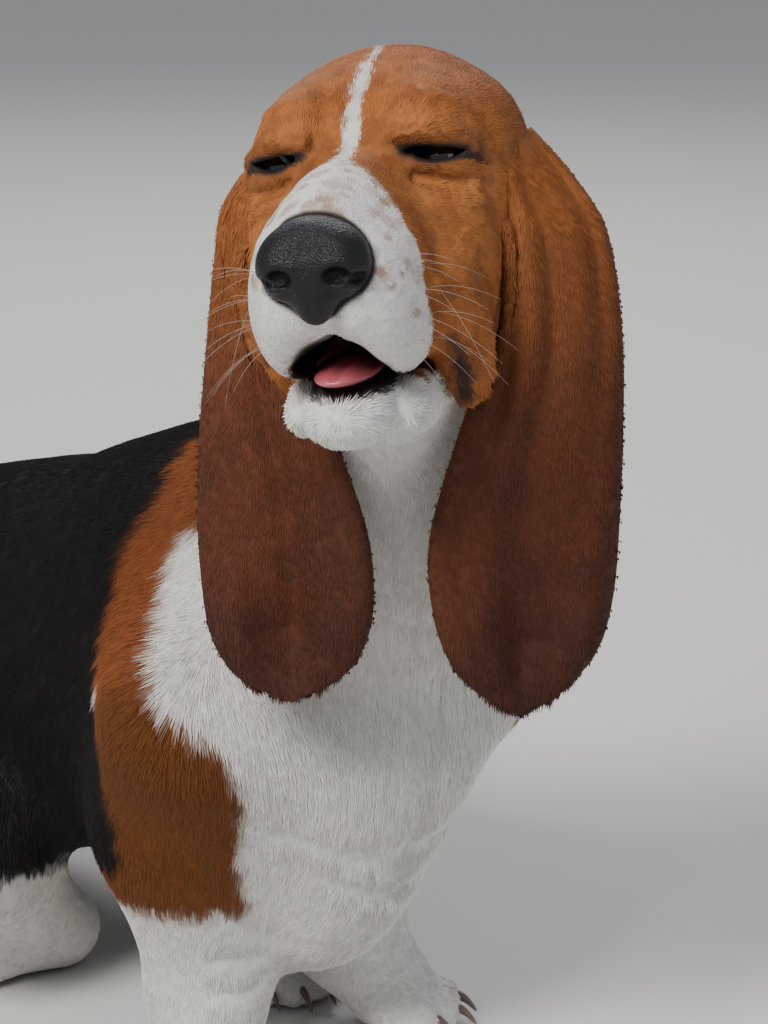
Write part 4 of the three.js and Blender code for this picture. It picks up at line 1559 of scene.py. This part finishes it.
@dataclass
class Skin:
    """The one skin of the trunk, legs, tail, neck and head, with both ears hung on it.

    Attributes:
        body_cell: Size of the faces on the body, in millimetres.
        inset: How far the skin lies inside the flesh.
        lowest: Height that the skin doesn't reach below, which leaves room for the coat.
        box: Two corners that hold the whole hound.
        finish: Its finish.
    """

    body_cell: float = 4.6
    inset: float = 1.2
    lowest: float = 0.3
    box: tuple[Triple, Triple] = ((-190.0, -380.0, -8.0), (200.0, 320.0, 560.0))
    finish: FurFinish = FurFinish("fur_skin", roughness=0.68, variation=0.22, bump=0.5)

    def flesh(self) -> Flesh:
        """Gives the whole body and head as one flesh."""
        shapes = (*body_shapes(), *head_shapes(), *jaw_shapes())
        return Flesh(shapes, (*MOUTH, *EYE_SLITS), SKIN_FOLDS, self.inset, self.lowest)

    def build(self) -> Mesh:
        """Meshes the skin, finer on the head and finest on the face, in millimetres."""
        flesh = self.flesh()
        low, high = (np.array(corner) for corner in self.box)
        points, quads = surface(flesh, low, high, self.body_cell)
        mesh = mesh_from("skin", points, quads)
        self.keep_largest(mesh)
        for test, limit in ((self.on_head, 1.2), (self.on_face, 0.6)):
            refine(mesh, test(mesh_points(mesh)), flesh, limit)
        mesh.shade_smooth()
        return mesh

    @staticmethod
    def keep_largest(mesh: Mesh) -> None:
        """Deletes every loose scrap but the largest surface."""
        work = bmesh.new()
        work.from_mesh(mesh)
        seen: set[int] = set()
        groups = []
        work.verts.ensure_lookup_table()
        for vert in work.verts:
            if vert.index in seen:
                continue
            group, stack = [], [vert]
            seen.add(vert.index)
            while stack:
                here = stack.pop()
                group.append(here)
                for edge in here.link_edges:
                    other = edge.other_vert(here)
                    if other.index not in seen:
                        seen.add(other.index)
                        stack.append(other)
            groups.append(group)
        groups.sort(key=len)
        for group in groups[:-1]:
            bmesh.ops.delete(work, geom=group, context="VERTS")
        work.to_mesh(mesh)
        work.free()

    @staticmethod
    def on_head(points: Array) -> Array:
        """Says which points lie on the head."""
        height = points[:, 2]
        return (ahead_of_neck(points) > -66) & (height > HEAD_LOWEST) | (height > CROWN_LOWEST)

    @staticmethod
    def on_face(points: Array) -> Array:
        """Says which points lie on the face and muzzle."""
        f, _, up = BONES.head_local(points).T
        return Skin.on_head(points) & (f > -12) & (up < 26) & (up > -108)


@dataclass
class Ear:
    """A long soft ear that hangs from the side of the skull, as a closed leaf with folds.

    Attributes:
        side: Which ear it is.
        stations: Rows from root to tip: drop, front and rear edge to the viewer's right of the point
            between the eyes, and how near to the viewer the front and rear edges are.
        bulge: How far its middle stands towards the viewer.
        curl: How deep its long folds are.
        thickness: Thickness of the leaf.
        across: Faces across it.
        down: Faces along it.
        root_share: The share of its length that runs inside the head.
    """

    side: str
    stations: tuple[tuple[float, ...], ...]
    bulge: float
    curl: float
    thickness: float = 4.2
    across: int = 44
    down: int = 96
    root_share: float = 0.16

    VIEW_YAW: ClassVar[float] = radians(42)

    def from_view(self, right: Array, near: Array, drop: Array) -> Array:
        """Gives places from how far right, near and low they are from the point between the eyes."""
        to_right = np.array([cos(self.VIEW_YAW), -sin(self.VIEW_YAW), 0])
        to_viewer = np.array([-sin(self.VIEW_YAW), -cos(self.VIEW_YAW), 0])
        base = np.array(BONES.between_eyes)
        down = np.array([0, 0, -1.0])
        return base + right[..., None] * to_right + near[..., None] * to_viewer + drop[..., None] * down

    def sheet(self) -> Array:
        """Gives the leaf's middle surface as rows of points."""
        rows = np.array(self.stations, float)
        t_rows = np.linspace(0, 1, len(rows))
        s = np.linspace(0, 1, self.down + 1)
        smooth = [catmull(t_rows, rows[:, n], s) for n in range(5)]
        drop, front, rear, near_front, near_rear = (v[:, None] for v in smooth)
        t = np.linspace(0, 1, self.across + 1)[None, :]
        s = s[:, None]
        belly = self.bulge * np.sin(np.pi * t) * np.sin(np.pi * np.minimum(1, 0.25 + s))
        fading = np.minimum(s, 3 * (1 - s))
        wide_folds = np.sin(3 * np.pi * t) * fading
        narrow_folds = 0.4 * np.sin(7 * np.pi * t + 2.0 * s) * (1 - s)
        long_folds = self.curl * (wide_folds + narrow_folds)
        ripples = 0.8 * np.sin(18 * s + 9 * t) * s
        drape = 4.0 * np.sin(9 * np.pi * t) * np.exp(-4 * s) * step(s, 0.06, 0.1)
        right = front + (rear - front) * t
        near = near_front + (near_rear - near_front) * t + belly + long_folds + ripples + drape
        tip = 6 * np.sin(np.pi * t) * step(s, 0.9, 0.2)
        return self.from_view(right, near, drop + np.zeros_like(t) + tip)

    def hung(self, sheet: Array, body: Flesh) -> Array:
        """Pushes the leaf sideways until it hangs clear of the body, and smooths it.

        Args:
            sheet: The leaf's middle surface.
            body: The flesh that it hangs against.

        Returns:
            The moved surface.
        """
        rows, columns = sheet.shape[:2]
        flat = sheet.reshape(-1, 3)
        s = np.repeat(np.linspace(0, 1, rows), columns)
        clear = np.clip((s - self.root_share) * 40, -20, self.thickness * 0.9)
        for _ in range(14):
            here, gradient = body.slope(flat, 1.0)
            gradient[:, 2] = 0
            length = np.maximum(np.linalg.norm(gradient, axis=1), 0.2)
            push = np.clip(clear - here, 0, 4) * (s > self.root_share)
            if push.max() < 0.05:
                break
            flat = flat + gradient / length[:, None] * push[:, None]
        sheet = flat.reshape(rows, columns, 3)
        for _ in range(3):
            inner = sheet[1:-1, 1:-1]
            around = sheet[:-2, 1:-1] + sheet[2:, 1:-1] + sheet[1:-1, :-2] + sheet[1:-1, 2:]
            sheet[1:-1, 1:-1] = 0.5 * inner + 0.125 * around
        return sheet

    def build(self, body: Flesh) -> tuple[Mesh, Array, Array]:
        """Meshes the ear clear of the body, in millimetres.

        Args:
            body: The flesh that it hangs against.

        Returns:
            The mesh, how far down the ear each point is, and how far in from its edge, both from 0 to 1.
        """
        sheet = self.hung(self.sheet(), body)
        rows, columns = sheet.shape[:2]
        s = np.repeat(np.linspace(0, 1, rows), columns)
        down_way = np.gradient(sheet, axis=0)
        across_way = np.gradient(sheet, axis=1)
        normal = np.cross(across_way, down_way)
        normal /= np.linalg.norm(normal, axis=2, keepdims=True)
        t = np.linspace(0, 1, columns)[None, :]
        rim = np.minimum(1, np.sqrt(np.clip(4 * np.minimum(t, 1 - t) / 0.5, 0, 1)) + 0.12)
        s_grid = np.linspace(0, 1, rows)[:, None]
        tip = np.minimum(1, np.sqrt(np.clip((1 - s_grid) / 0.08, 0, 1)) + 0.12)
        half = self.thickness / 2 * rim * tip * (1.5 - 0.7 * s_grid)
        outside = (sheet + normal * half[..., None]).reshape(-1, 3)
        inside = (sheet - normal * half[..., None]).reshape(-1, 3)
        count = rows * columns
        faces = []
        for j in range(rows - 1):
            for i in range(columns - 1):
                a, b = j * columns + i, j * columns + i + 1
                c, d = b + columns, a + columns
                faces.append((a, b, c, d))
                faces.append((a + count, d + count, c + count, b + count))
        rim_loop = [*range(columns), *[(j + 1) * columns - 1 for j in range(1, rows)]]
        rim_loop += [(rows - 1) * columns + i for i in range(columns - 2, -1, -1)]
        rim_loop += [j * columns for j in range(rows - 2, 0, -1)]
        for n, a in enumerate(rim_loop):
            b = rim_loop[(n + 1) % len(rim_loop)]
            faces.append((a, a + count, b + count, b))
        mesh = mesh_from(f"ear_{self.side}_skin", np.concatenate([outside, inside]), faces)
        face_outwards(mesh)
        inner = np.clip(np.minimum(np.minimum(t, 1 - t) / 0.10, (1 - s_grid) / 0.06), 0, 1).ravel()
        return mesh, np.concatenate([s, s]), np.concatenate([inner, inner])


def catmull(knots: Array, values: Array, where: Array) -> Array:
    """Gives a smooth curve through values at even knots.

    Args:
        knots: Where the values are.
        values: What the curve passes through.
        where: Where to read it.

    Returns:
        The curve's values.
    """
    slopes = np.gradient(values, knots)
    n = np.clip(np.searchsorted(knots, where, side="right") - 1, 0, len(knots) - 2)
    width = knots[n + 1] - knots[n]
    u = (where - knots[n]) / width
    h00, h10 = 2 * u**3 - 3 * u**2 + 1, u**3 - 2 * u**2 + u
    h01, h11 = -2 * u**3 + 3 * u**2, u**3 - u**2
    return h00 * values[n] + h10 * width * slopes[n] + h01 * values[n + 1] + h11 * width * slopes[n + 1]


EARS = (
    Ear(
        "left",
        (
            (-4, 46, 72, 2, -58),
            (18, 50, 92, 6, -56),
            (40, 52, 106, 10, -40),
            (80, 51, 112, 14, -22),
            (124, 37, 113, 20, -14),
            (163, 27, 112, 24, -10),
            (196, 29, 110, 26, -8),
            (219, 37, 104, 24, -2),
            (234, 49, 92, 20, 3),
            (241, 62, 79, 18, 6),
        ),
        bulge=16,
        curl=7,
    ),
    Ear(
        "right",
        (
            (4, -40, -46, -8, -34),
            (26, -36, -62, 2, -34),
            (48, -32, -66, 8, -30),
            (84, -28, -70, 12, -24),
            (124, -12, -74, 14, -16),
            (160, 0, -75, 16, -8),
            (190, 3, -73, 18, 2),
            (212, -1, -69, 18, 8),
            (227, -11, -60, 17, 10),
            (234, -25, -46, 16, 12),
        ),
        bulge=12,
        curl=10,
    ),
)


@dataclass
class EyePair:
    """Two eyeballs set deep behind their lids.

    Attributes:
        radius: Each ball's radius in millimetres.
        finish: Their finish.
    """

    radius: float = 11.3
    finish: EyeFinish = EyeFinish("wet_eye")

    @staticmethod
    def place(sign: float) -> Triple:
        """Gives an eye's centre in the head's own frame."""
        return (4.0, sign * BONES.eye_half_spacing, -2.0)

    def build(self, side: str) -> Mesh:
        """Meshes one ball with a cornea that stands a little proud, in millimetres."""
        sign = SIDES[side]
        work = bmesh.new()
        bmesh.ops.create_uvsphere(work, u_segments=40, v_segments=24, radius=1.0)
        mesh = bpy.data.meshes.new(f"eyeball_{side}")
        work.to_mesh(mesh)
        work.free()
        points = mesh_points(mesh)
        look = np.array([1.0, 0.30 * sign, -0.10])
        look /= np.linalg.norm(look)
        off = np.arccos(np.clip(points @ look, -1, 1)) / np.pi
        bulge = 1 + 0.06 * np.exp(-((off / 0.14) ** 2))
        local = points * self.radius * bulge[:, None]
        set_points(mesh, np.array(BONES.on_head(*self.place(sign))) + local @ BONES.head_axes())
        write_attribute(mesh, "from_front", "FLOAT", off * 2.2)
        mesh.shade_smooth()
        return mesh


def head_box(ahead: tuple, out: tuple, up: tuple) -> tuple[Array, Array]:
    """Gives the body-frame box round a stretch of the head, from its limits along the head's directions."""
    corners = np.array([BONES.on_head(f, o, u) for f in ahead for o in out for u in up])
    return corners.min(axis=0), corners.max(axis=0)


@dataclass
class NoseLeather:
    """The black nose leather with its nostrils.

    Attributes:
        cell: Size of its faces.
        finish: Its finish.
    """

    cell: float = 1.15
    finish: MoistFinish = MoistFinish("nose_leather", (0.0035, 0.0035, 0.0050), 1500.0, 0.5, 0.42, 0.0)

    def build(self) -> Mesh:
        """Meshes the nose, in millimetres."""
        folds = (
            Fold(((122, 0, -22), (120, 0, -34), (114, 0, -50)), 1.5, 1.8, True),
            Fold(((114, 8, -40), (110, 18, -42), (100, 24, -38)), 1.8, 1.4, True, True),
        )
        flesh = Flesh(NOSE, NOSTRILS, folds, 0.2)
        points, quads = surface(flesh, *head_box((76, 130), (-30, 30), (-66, 2)), self.cell)
        return mesh_from("nose_leather", points, quads)


@dataclass
class Tongue:
    """The tip of a pink tongue, lying in the lower jaw with a groove down its middle.

    Attributes:
        cell: Size of its faces.
        finish: Its finish.
    """

    cell: float = 1.2
    finish: MoistFinish = MoistFinish("tongue", (0.40, 0.085, 0.105), 1900.0, 0.35, 0.38, 0.5)

    def build(self) -> Mesh:
        """Meshes the tongue, in millimetres."""
        groove = Fold(((40, 0, -75), (66, 0, -75), (94, 0, -79)), 2.0, 1.6, True)
        flesh = Flesh(tuple(head_pair(62, 0, -80, (32, 13, 4.5), 3)), (), (groove,), 0.1)
        low, high = head_box((26, 100), (-17, 17), (-90, -70))
        points, quads = surface(flesh, low - 4, high + 4, self.cell)
        return mesh_from("tongue_tip", points, quads)


@dataclass
class Claws:
    """The sixteen claws, each a curved horn that leaves a toe's tip.

    Attributes:
        length: Length of a claw.
        root: How far ahead of the toe's middle it starts.
        radius: Radius at its root.
        drop: How far its tip lies below its root.
        finish: Its finish.
    """

    length: float = 13.0
    root: float = 7.0
    radius: float = 3.3
    drop: float = 10.0
    finish: HornFinish = HornFinish("claw_horn", (0.055, 0.032, 0.022), (0.16, 0.11, 0.08), 0.38)

    def horn(self) -> Mesh:
        """Meshes one claw that points along +X and curves down."""
        rings, sides = 9, 10
        points, along = [], []
        for ring in range(rings):
            t = ring / rings
            centre = np.array([self.length * t, 0, -self.drop * t * t])
            radius = self.radius * (1 - 0.85 * t)
            for n in range(sides):
                angle = 2 * np.pi * n / sides
                tilt = radius * sin(angle)
                points.append(centre + [tilt * 0.9 * t, 0.8 * radius * cos(angle), tilt])
                along.append(t)
        points += [np.array([self.length, 0, -self.drop]), np.array([0.0, 0, 0])]
        along += [1.0, 0.0]
        tip, base = len(points) - 2, len(points) - 1
        faces = []
        for n in range(sides):
            m = (n + 1) % sides
            for ring in range(rings - 1):
                a = ring * sides
                faces.append((a + n, a + m, a + sides + m, a + sides + n))
            faces.append(((rings - 1) * sides + n, (rings - 1) * sides + m, tip))
            faces.append((m, n, base))
        mesh = mesh_from("claw", np.array(points) * MM, faces)
        face_outwards(mesh)
        write_attribute(mesh, "along", "FLOAT", np.array(along))
        return mesh

    def build(self, place: Placement, material: Material) -> Mesh:
        """Sets a claw on each toe, in metres."""
        points, ways = [], []
        for limbs in (BONES.fore, BONES.hind):
            for side in SIDES:
                for toe, ahead in toe_places(limbs[side]):
                    points.append([*(toe + ahead * self.root)[:2], TOE_HEIGHT + 2])
                    ways.append(ahead)
        holder = mesh_from("claw_points", place.metres(np.array(points)), [])
        write_attribute(holder, "ahead", "FLOAT_VECTOR", np.array(ways))
        piece = add_object("claw_points", holder)
        horn = add_object("claw_pattern", self.horn())
        mesh = nodes_mesh(piece, claw_tree(), {"Claw": horn, "Size": 1.0, "Material": material})
        for used in (piece, horn):
            bpy.data.objects.remove(used)
        return mesh


@dataclass
class Whiskers:
    """Long pale hairs in rows on the muzzle.

    Attributes:
        length: Length of the longest, in millimetres.
        thickness: Radius at the root.
        seed: Seed of their random bends.
        finish: Their finish.
    """

    length: float = 36.0
    thickness: float = 0.11
    seed: int = 5
    finish: HornFinish = HornFinish("whisker", (0.22, 0.18, 0.15), (0.55, 0.52, 0.48), 0.45)

    def build(self, place: Placement, skin: Flesh, material: Material) -> Mesh:
        """Draws the whiskers from their roots on the skin, in metres."""
        rng = np.random.default_rng(self.seed)
        roots = skin.settle(np.array(whisker_roots()), 3.0, 4)
        _, normals = skin.slope(roots)
        normals /= np.linalg.norm(normals, axis=1, keepdims=True)
        back = -BONES.head_axes()[0]
        points, edges, thick, along = [], [], [], []
        for root, normal in zip(roots, normals):
            length = self.length * rng.uniform(0.45, 1.0)
            start = normal * 0.9 + back * 0.35 + rng.normal(0, 0.12, 3)
            start /= np.linalg.norm(start)
            spots = 7
            for n in range(spots):
                t = n / (spots - 1)
                droop = np.array([0, 0, -0.42]) * t * t
                points.append(root + length * (start * t + droop + back * 0.25 * t * t))
                thick.append(self.thickness * (1.0 - 0.8 * t) * MM)
                along.append(t)
                if n:
                    edges.append((len(points) - 2, len(points) - 1))
        mesh = bpy.data.meshes.new("whisker_lines")
        mesh.from_pydata(place.metres(np.array(points)).tolist(), edges, [])
        write_attribute(mesh, "thickness", "FLOAT", np.array(thick))
        write_attribute(mesh, "along", "FLOAT", np.array(along))
        piece = add_object("whisker_lines", mesh)
        result = nodes_mesh(piece, whisker_tree(), {"Sides": 4, "Material": material})
        bpy.data.objects.remove(piece)
        return result


@dataclass
class Coat:
    """The short coat: tufts of flat spikes that lie along the body.

    Attributes:
        spikes: Hairs in a tuft.
        spike_width: Width of a hair at its root, in millimetres.
        sunk: How far a hair's root lies below the skin.
        ridge: How far its back stands above the skin.
        tip_height: How far its tip does.
        fan: Width of a tuft's root.
        kinds: How many different tufts are mixed.
        seed: Seed of every random draw.
        finish: Its finish.
    """

    spikes: int = 5
    spike_width: float = 0.85
    sunk: float = 0.02
    ridge: float = 0.015
    tip_height: float = 0.08
    fan: float = 3.4
    kinds: int = 4
    seed: int = 3
    finish: FurFinish = FurFinish("fur_tufts", roughness=0.66, variation=0.13, is_coat=True)

    def tuft(self, kind: int) -> Mesh:
        """Meshes one tuft along +X, a millimetre long for each unit, from closed four-sided hairs."""
        rng = np.random.default_rng(self.seed + kind)
        points, faces, along, patch = [], [], [], []
        for n in range(self.spikes):
            y = (n + 0.5 - self.spikes / 2) / self.spikes * self.fan * MM + rng.normal(0, 0.2) * MM
            x = rng.uniform(-0.25, 0.25) * MM
            length = rng.uniform(0.75, 1.05) * MM
            half = self.spike_width / 2 * MM
            lean = rng.normal(0, 0.35) * MM
            base = len(points)
            points += [
                (x, y - half, -self.sunk * MM),
                (x, y + half, -self.sunk * MM),
                (x + 0.05 * MM, y, self.ridge * MM),
                (x + length, y + lean, self.tip_height * MM),
            ]
            faces += [tuple(base + n for n in face) for face in ((0, 2, 1), (0, 3, 2), (2, 3, 1), (1, 3, 0))]
            along += [0.0, 0.0, 0.0, 1.0]
            patch += [(0.0, n / self.spikes, 0)] * 3 + [(1.0, (n + 0.5) / self.spikes, 0)]
        mesh = mesh_from(f"tuft_{kind}", points, faces, smooth=False)
        write_attribute(mesh, "along", "FLOAT", np.array(along))
        write_attribute(mesh, "patch", "FLOAT_VECTOR", np.array(patch) - 0.5)
        return mesh

    def pattern(self) -> Collection:
        """Gives a collection of the different tufts."""
        collection = bpy.data.collections.new("tuft_kinds")
        for kind in range(self.kinds):
            collection.objects.link(bpy.data.objects.new(f"tuft_{kind}", self.tuft(kind)))
        return collection

    @staticmethod
    def zones(points: Array) -> dict[CoatZone, Array]:
        """Gives each zone's share of the skin's points."""
        ahead = BONES.head_local(points)[:, 0]
        y, z = points[:, 1], points[:, 2]
        head = Skin.on_head(points)
        face = head & (ahead > -16)
        throat = ~head & (z > 262)
        low = z < 104
        return {
            CoatZone.FACE: face,
            CoatZone.CROWN: head & ~face,
            CoatZone.THROAT: throat & (y < -60),
            CoatZone.CHEST: ~head & ~throat & ~low & (y < -120),
            CoatZone.FORE: low & (y < -60),
            CoatZone.FLANK: ~head & ~low & (y >= -120) & (y < 105) & ~(throat & (y < -60)),
            CoatZone.REAR: ~head & ((low & (y >= -60)) | (~low & (y >= 105))),
        }

    @staticmethod
    def hairy(points: Array) -> Array:
        """Gives 0 where no hair grows and 1 elsewhere: the eyes, lips, mouth, nose and soles are bare."""
        hair = step(Flesh(NOSE).distance(points), 2.2, 1.5)
        hair *= step(Flesh(MOUTH).distance(points), 3.6, 2.0)
        hair *= step(Flesh(EYE_SLITS).distance(points), 3.0, 1.6)
        return hair * step(points[:, 2], 3.0, 2.0)


# Putting it together

# How many tufts grow in each zone
ZONE_TUFTS = {
    CoatZone.FACE: 9600,
    CoatZone.CROWN: 6500,
    CoatZone.THROAT: 6500,
    CoatZone.CHEST: 9600,
    CoatZone.FORE: 9000,
    CoatZone.FLANK: 9600,
    CoatZone.REAR: 9600,
    CoatZone.EAR_LEFT: 6000,
    CoatZone.EAR_RIGHT: 5500,
}
ZONE_SLOT = {
    CoatZone.FACE: "tan_coat",
    CoatZone.CROWN: "tan_coat",
    CoatZone.THROAT: "white_coat",
    CoatZone.CHEST: "white_coat",
    CoatZone.FORE: "white_coat",
    CoatZone.FLANK: "black_coat",
    CoatZone.REAR: "black_coat",
    CoatZone.EAR_LEFT: "ear_coat",
    CoatZone.EAR_RIGHT: "ear_coat",
}


def unwrap(piece: Object) -> None:
    """Unwraps a skin by its own shape, as a map named unwrap."""
    for other in bpy.context.view_layer.objects.selected:
        other.select_set(False)
    piece.data.uv_layers.new(name="unwrap")
    bpy.context.view_layer.objects.active = piece
    piece.select_set(True)
    bpy.ops.object.mode_set(mode="EDIT")
    bpy.ops.mesh.select_all(action="SELECT")
    bpy.ops.uv.smart_project(angle_limit=radians(66), island_margin=0.002)
    bpy.ops.object.mode_set(mode="OBJECT")
    piece.select_set(False)


@dataclass
class Pelt:
    """A skin with everything that its coat reads: colours, the coat's lie, its length and its zones.

    Attributes:
        name: The piece's name.
        mesh: Its mesh, in millimetres.
        colours: The colour of each point.
        lie: The way that the coat lies at each point.
        lengths: Its length in millimetres.
        zones: The growing share of each point in each zone.
    """

    name: str
    mesh: Mesh
    colours: Array
    lie: Array
    lengths: Array
    zones: dict[CoatZone, Array]

    def build(self, place: Placement, material: Material) -> Object:
        """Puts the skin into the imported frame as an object, with its attributes and its unwrap."""
        mesh = self.mesh
        mesh.name = self.name
        set_points(mesh, place.metres(mesh_points(mesh)))
        shade = np.concatenate([self.colours, np.ones((len(self.colours), 1))], axis=1)
        write_attribute(mesh, "coat_colour", "FLOAT_COLOR", shade)
        write_attribute(mesh, "lie", "FLOAT_VECTOR", self.lie)
        write_attribute(mesh, "hair_length", "FLOAT", self.lengths)
        mesh.materials.append(material)
        piece = add_object(self.name, mesh)
        unwrap(piece)
        return piece

    def grow(
        self,
        piece: Object,
        coat: Coat,
        tufts: Collection,
        tree: NodeTree,
        material: Material,
    ) -> list[Object]:
        """Grows the coat of each zone on the built skin.

        Args:
            piece: The built skin.
            coat: The coat's sizes.
            tufts: Its different tufts.
            tree: The tree that grows it.
            material: Its finish.

        Returns:
            One piece for each zone.
        """
        grown = []
        mesh = piece.data
        areas = np.empty(len(mesh.polygons))
        mesh.polygons.foreach_get("area", areas)
        corners = [polygon.vertices[0] for polygon in mesh.polygons]
        for zone, share in self.zones.items():
            write_attribute(mesh, "zone", "FLOAT", share)
            area = float((areas * share[corners]).sum())
            values = {
                "Tufts": tufts,
                "Per Square Metre": ZONE_TUFTS[zone] / area,
                "Seed": coat.seed + list(CoatZone).index(zone),
                "Width": 1.0,
                "Lift": 1.0,
                "Material": material,
            }
            grown.append(add_object(f"coat_{zone.value}", nodes_mesh(piece, tree, values)))
            grown[-1].data.name = grown[-1].name
        mesh.attributes.remove(mesh.attributes["zone"])
        return grown


@dataclass(frozen=True)
class Lamp:
    """One soft light that faces the hound.

    Attributes:
        name: Its name.
        place: Where it hangs, in metres.
        size: Its width in metres.
        power: Its power in watts.
        colour: Its linear colour.
    """

    name: str
    place: Triple
    size: float
    power: float
    colour: Triple


LAMPS = (
    Lamp("key", (-2.0, -0.7, 2.2), 0.9, 100.0, (1.0, 0.97, 0.93)),
    Lamp("fill", (1.0, -2.6, 1.2), 2.4, 15.0, (0.93, 0.96, 1.0)),
    Lamp("rim", (1.6, 1.6, 2.2), 1.4, 36.0, (1.0, 1.0, 1.0)),
)


@dataclass
class Studio:
    """The floor, the lights and the photographer's camera.

    Attributes:
        camera_place: Where the camera stood, in the hound's own frame.
        azimuth: Which way it looks, turned from +Y towards +X.
        elevation: How far it looks down.
        focal_pixels: Its focal length in pixels of the photograph.
        floor_size: The floor's width in metres.
        sky: Linear colour of the light from all round.
        sky_strength: Its strength.
        aim: The height in metres that every light faces.
        floor_finish: The floor's finish.
    """

    camera_place: Triple = (-855.0, -1153.0, 672.0)
    azimuth: float = -42.0
    elevation: float = 16.0
    focal_pixels: float = 2827.5
    floor_size: float = 12.0
    sky: Triple = (0.86, 0.90, 0.95)
    sky_strength: float = 0.36
    aim: float = 0.3
    floor_finish: StudioFinish = StudioFinish("floor", (0.70, 0.69, 0.67))

    def build(self, place: Placement, mottle: NodeTree) -> None:
        """Builds everything that isn't the hound."""
        half = self.floor_size / 2
        corners = [(-half, -half, 0.0), (half, -half, 0.0), (half, half, 0.0), (-half, half, 0.0)]
        floor = mesh_from("floor", corners, [(0, 1, 2, 3)])
        floor.materials.append(self.floor_finish.build(mottle))
        add_object("floor", floor)
        self.camera(place)
        for lamp in LAMPS:
            self.hang(lamp)
        world = bpy.data.worlds.new("studio")
        world.use_nodes = True
        background = world.node_tree.nodes["Background"]
        background.inputs["Color"].default_value = (*self.sky, 1)
        background.inputs["Strength"].default_value = self.sky_strength
        bpy.context.scene.world = world

    def camera(self, place: Placement) -> None:
        """Sets up the camera."""
        data = bpy.data.cameras.new("camera")
        data.sensor_width = 36.0
        data.lens = self.focal_pixels / max(IMAGE_SIZE) * data.sensor_width
        data.clip_start = 0.05
        camera = bpy.data.objects.new("camera", data)
        bpy.context.scene.collection.objects.link(camera)
        camera.location = place.metres(np.array([self.camera_place]))[0].tolist()
        turn, tilt = radians(self.azimuth), radians(self.elevation)
        forward = Vector((-sin(turn) * cos(tilt), cos(turn) * cos(tilt), -sin(tilt)))
        camera.rotation_euler = forward.to_track_quat("-Z", "Y").to_euler()
        bpy.context.scene.camera = camera

    def hang(self, lamp: Lamp) -> None:
        """Hangs one soft light that faces the hound."""
        data = bpy.data.lights.new(lamp.name, "AREA")
        data.size = lamp.size
        data.energy = lamp.power
        data.color = lamp.colour
        light = bpy.data.objects.new(lamp.name, data)
        bpy.context.scene.collection.objects.link(light)
        light.location = lamp.place
        way = Vector((0.0, 0.0, self.aim)) - Vector(lamp.place)
        light.rotation_euler = way.to_track_quat("-Z", "Y").to_euler()


FLESH_NODES = (
    "head",
    "lower_jaw",
    "neck",
    "torso",
    "hindquarters",
    "tail",
    *(f"{part}_{side}" for part in ("foreleg", "forepaw", "hind_leg", "hind_paw") for side in SIDES),
)
LEG_ENDS = ("fore", "hind")
CLAW_NODES = tuple(f"claw_{end}_{side}_{n}" for end in LEG_ENDS for side in SIDES for n in range(1, 5))


def dress(piece: Object, slot: str, *nodes: str) -> None:
    """Makes a piece ride with the body and stand for its nodes."""
    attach(piece, "root")
    if nodes:
        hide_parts(*nodes)
    log.info("%s: %d faces", piece.name, len(piece.data.polygons))


def small_piece(name: str, mesh: Mesh, place: Placement, material: Material) -> Object:
    """Puts a mesh that is in millimetres into the frame with its material."""
    set_points(mesh, place.metres(mesh_points(mesh)))
    mesh.materials.clear()
    mesh.materials.append(material)
    return add_object(name, mesh)


def main() -> None:
    """Builds the hound and its studio."""
    logging.basicConfig(level=logging.INFO, format="%(name)s: %(message)s")
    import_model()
    place = Placement.from_eyes()
    log.info("shift %s", place.shift)
    mottle = mottle_group()
    Studio().build(place, mottle)

    markings = Markings()
    skin = Skin()
    flesh = skin.flesh()
    skin_fur = skin.finish.build(mottle)
    coat = Coat()
    coat_fur = coat.finish.build(mottle)
    tufts = coat.pattern()
    tree = coat_tree()

    mesh = skin.build()
    points, normals = mesh_points(mesh), mesh_normals(mesh)
    log.info("skin: %d faces", len(mesh.polygons))
    hairy = coat.hairy(points)
    zones = {zone: share * hairy for zone, share in coat.zones(points).items()}
    pelt = Pelt("skin", mesh, markings.skin(points), coat_lie(points, normals), hair_lengths(points), zones)
    piece = pelt.build(place, skin_fur)
    dress(piece, "white_coat", *FLESH_NODES)
    for grown in pelt.grow(piece, coat, tufts, tree, coat_fur):
        dress(grown, ZONE_SLOT[CoatZone(grown.name.removeprefix("coat_"))])

    for ear in EARS:
        mesh, down, inner = ear.build(flesh)
        points = mesh_points(mesh)
        zone = CoatZone(f"ear_{ear.side}")
        shares = {zone: step(down, 0.03, 0.04)}
        lie = np.tile([0.0, 0.0, -1.0], (len(points), 1))
        lengths = np.interp(down, [0, 0.2, 1], [4.5, 5.5, 5.5]) * (0.3 + 0.7 * inner)
        pelt = Pelt(f"ear_skin_{ear.side}", mesh, markings.ear(points, down), lie, lengths, shares)
        piece = pelt.build(place, skin_fur)
        dress(piece, "ear_coat", f"ear_{ear.side}")
        for grown in pelt.grow(piece, coat, tufts, tree, coat_fur):
            dress(grown, "ear_coat")

    eyes, nose, tongue, claws, whiskers = EyePair(), NoseLeather(), Tongue(), Claws(), Whiskers()
    eye_finish = eyes.finish.build(mottle)
    for side in SIDES:
        dress(small_piece(f"eyeball_{side}", eyes.build(side), place, eye_finish), "eye", f"eye_{side}")
    leather = nose.finish.build(mottle)
    dress(small_piece("nose_leather", nose.build(), place, leather), "nose_leather", "nose")
    moist_pink = tongue.finish.build(mottle)
    dress(small_piece("tongue_tip", tongue.build(), place, moist_pink), "tongue", "tongue")
    dress(add_object("claws", claws.build(place, claws.finish.build(mottle))), "claw", *CLAW_NODES)
    hairs = whiskers.build(place, flesh, whiskers.finish.build(mottle))
    dress(add_object("whiskers", hairs), "white_coat")


if __name__ == "__main__":
    main()
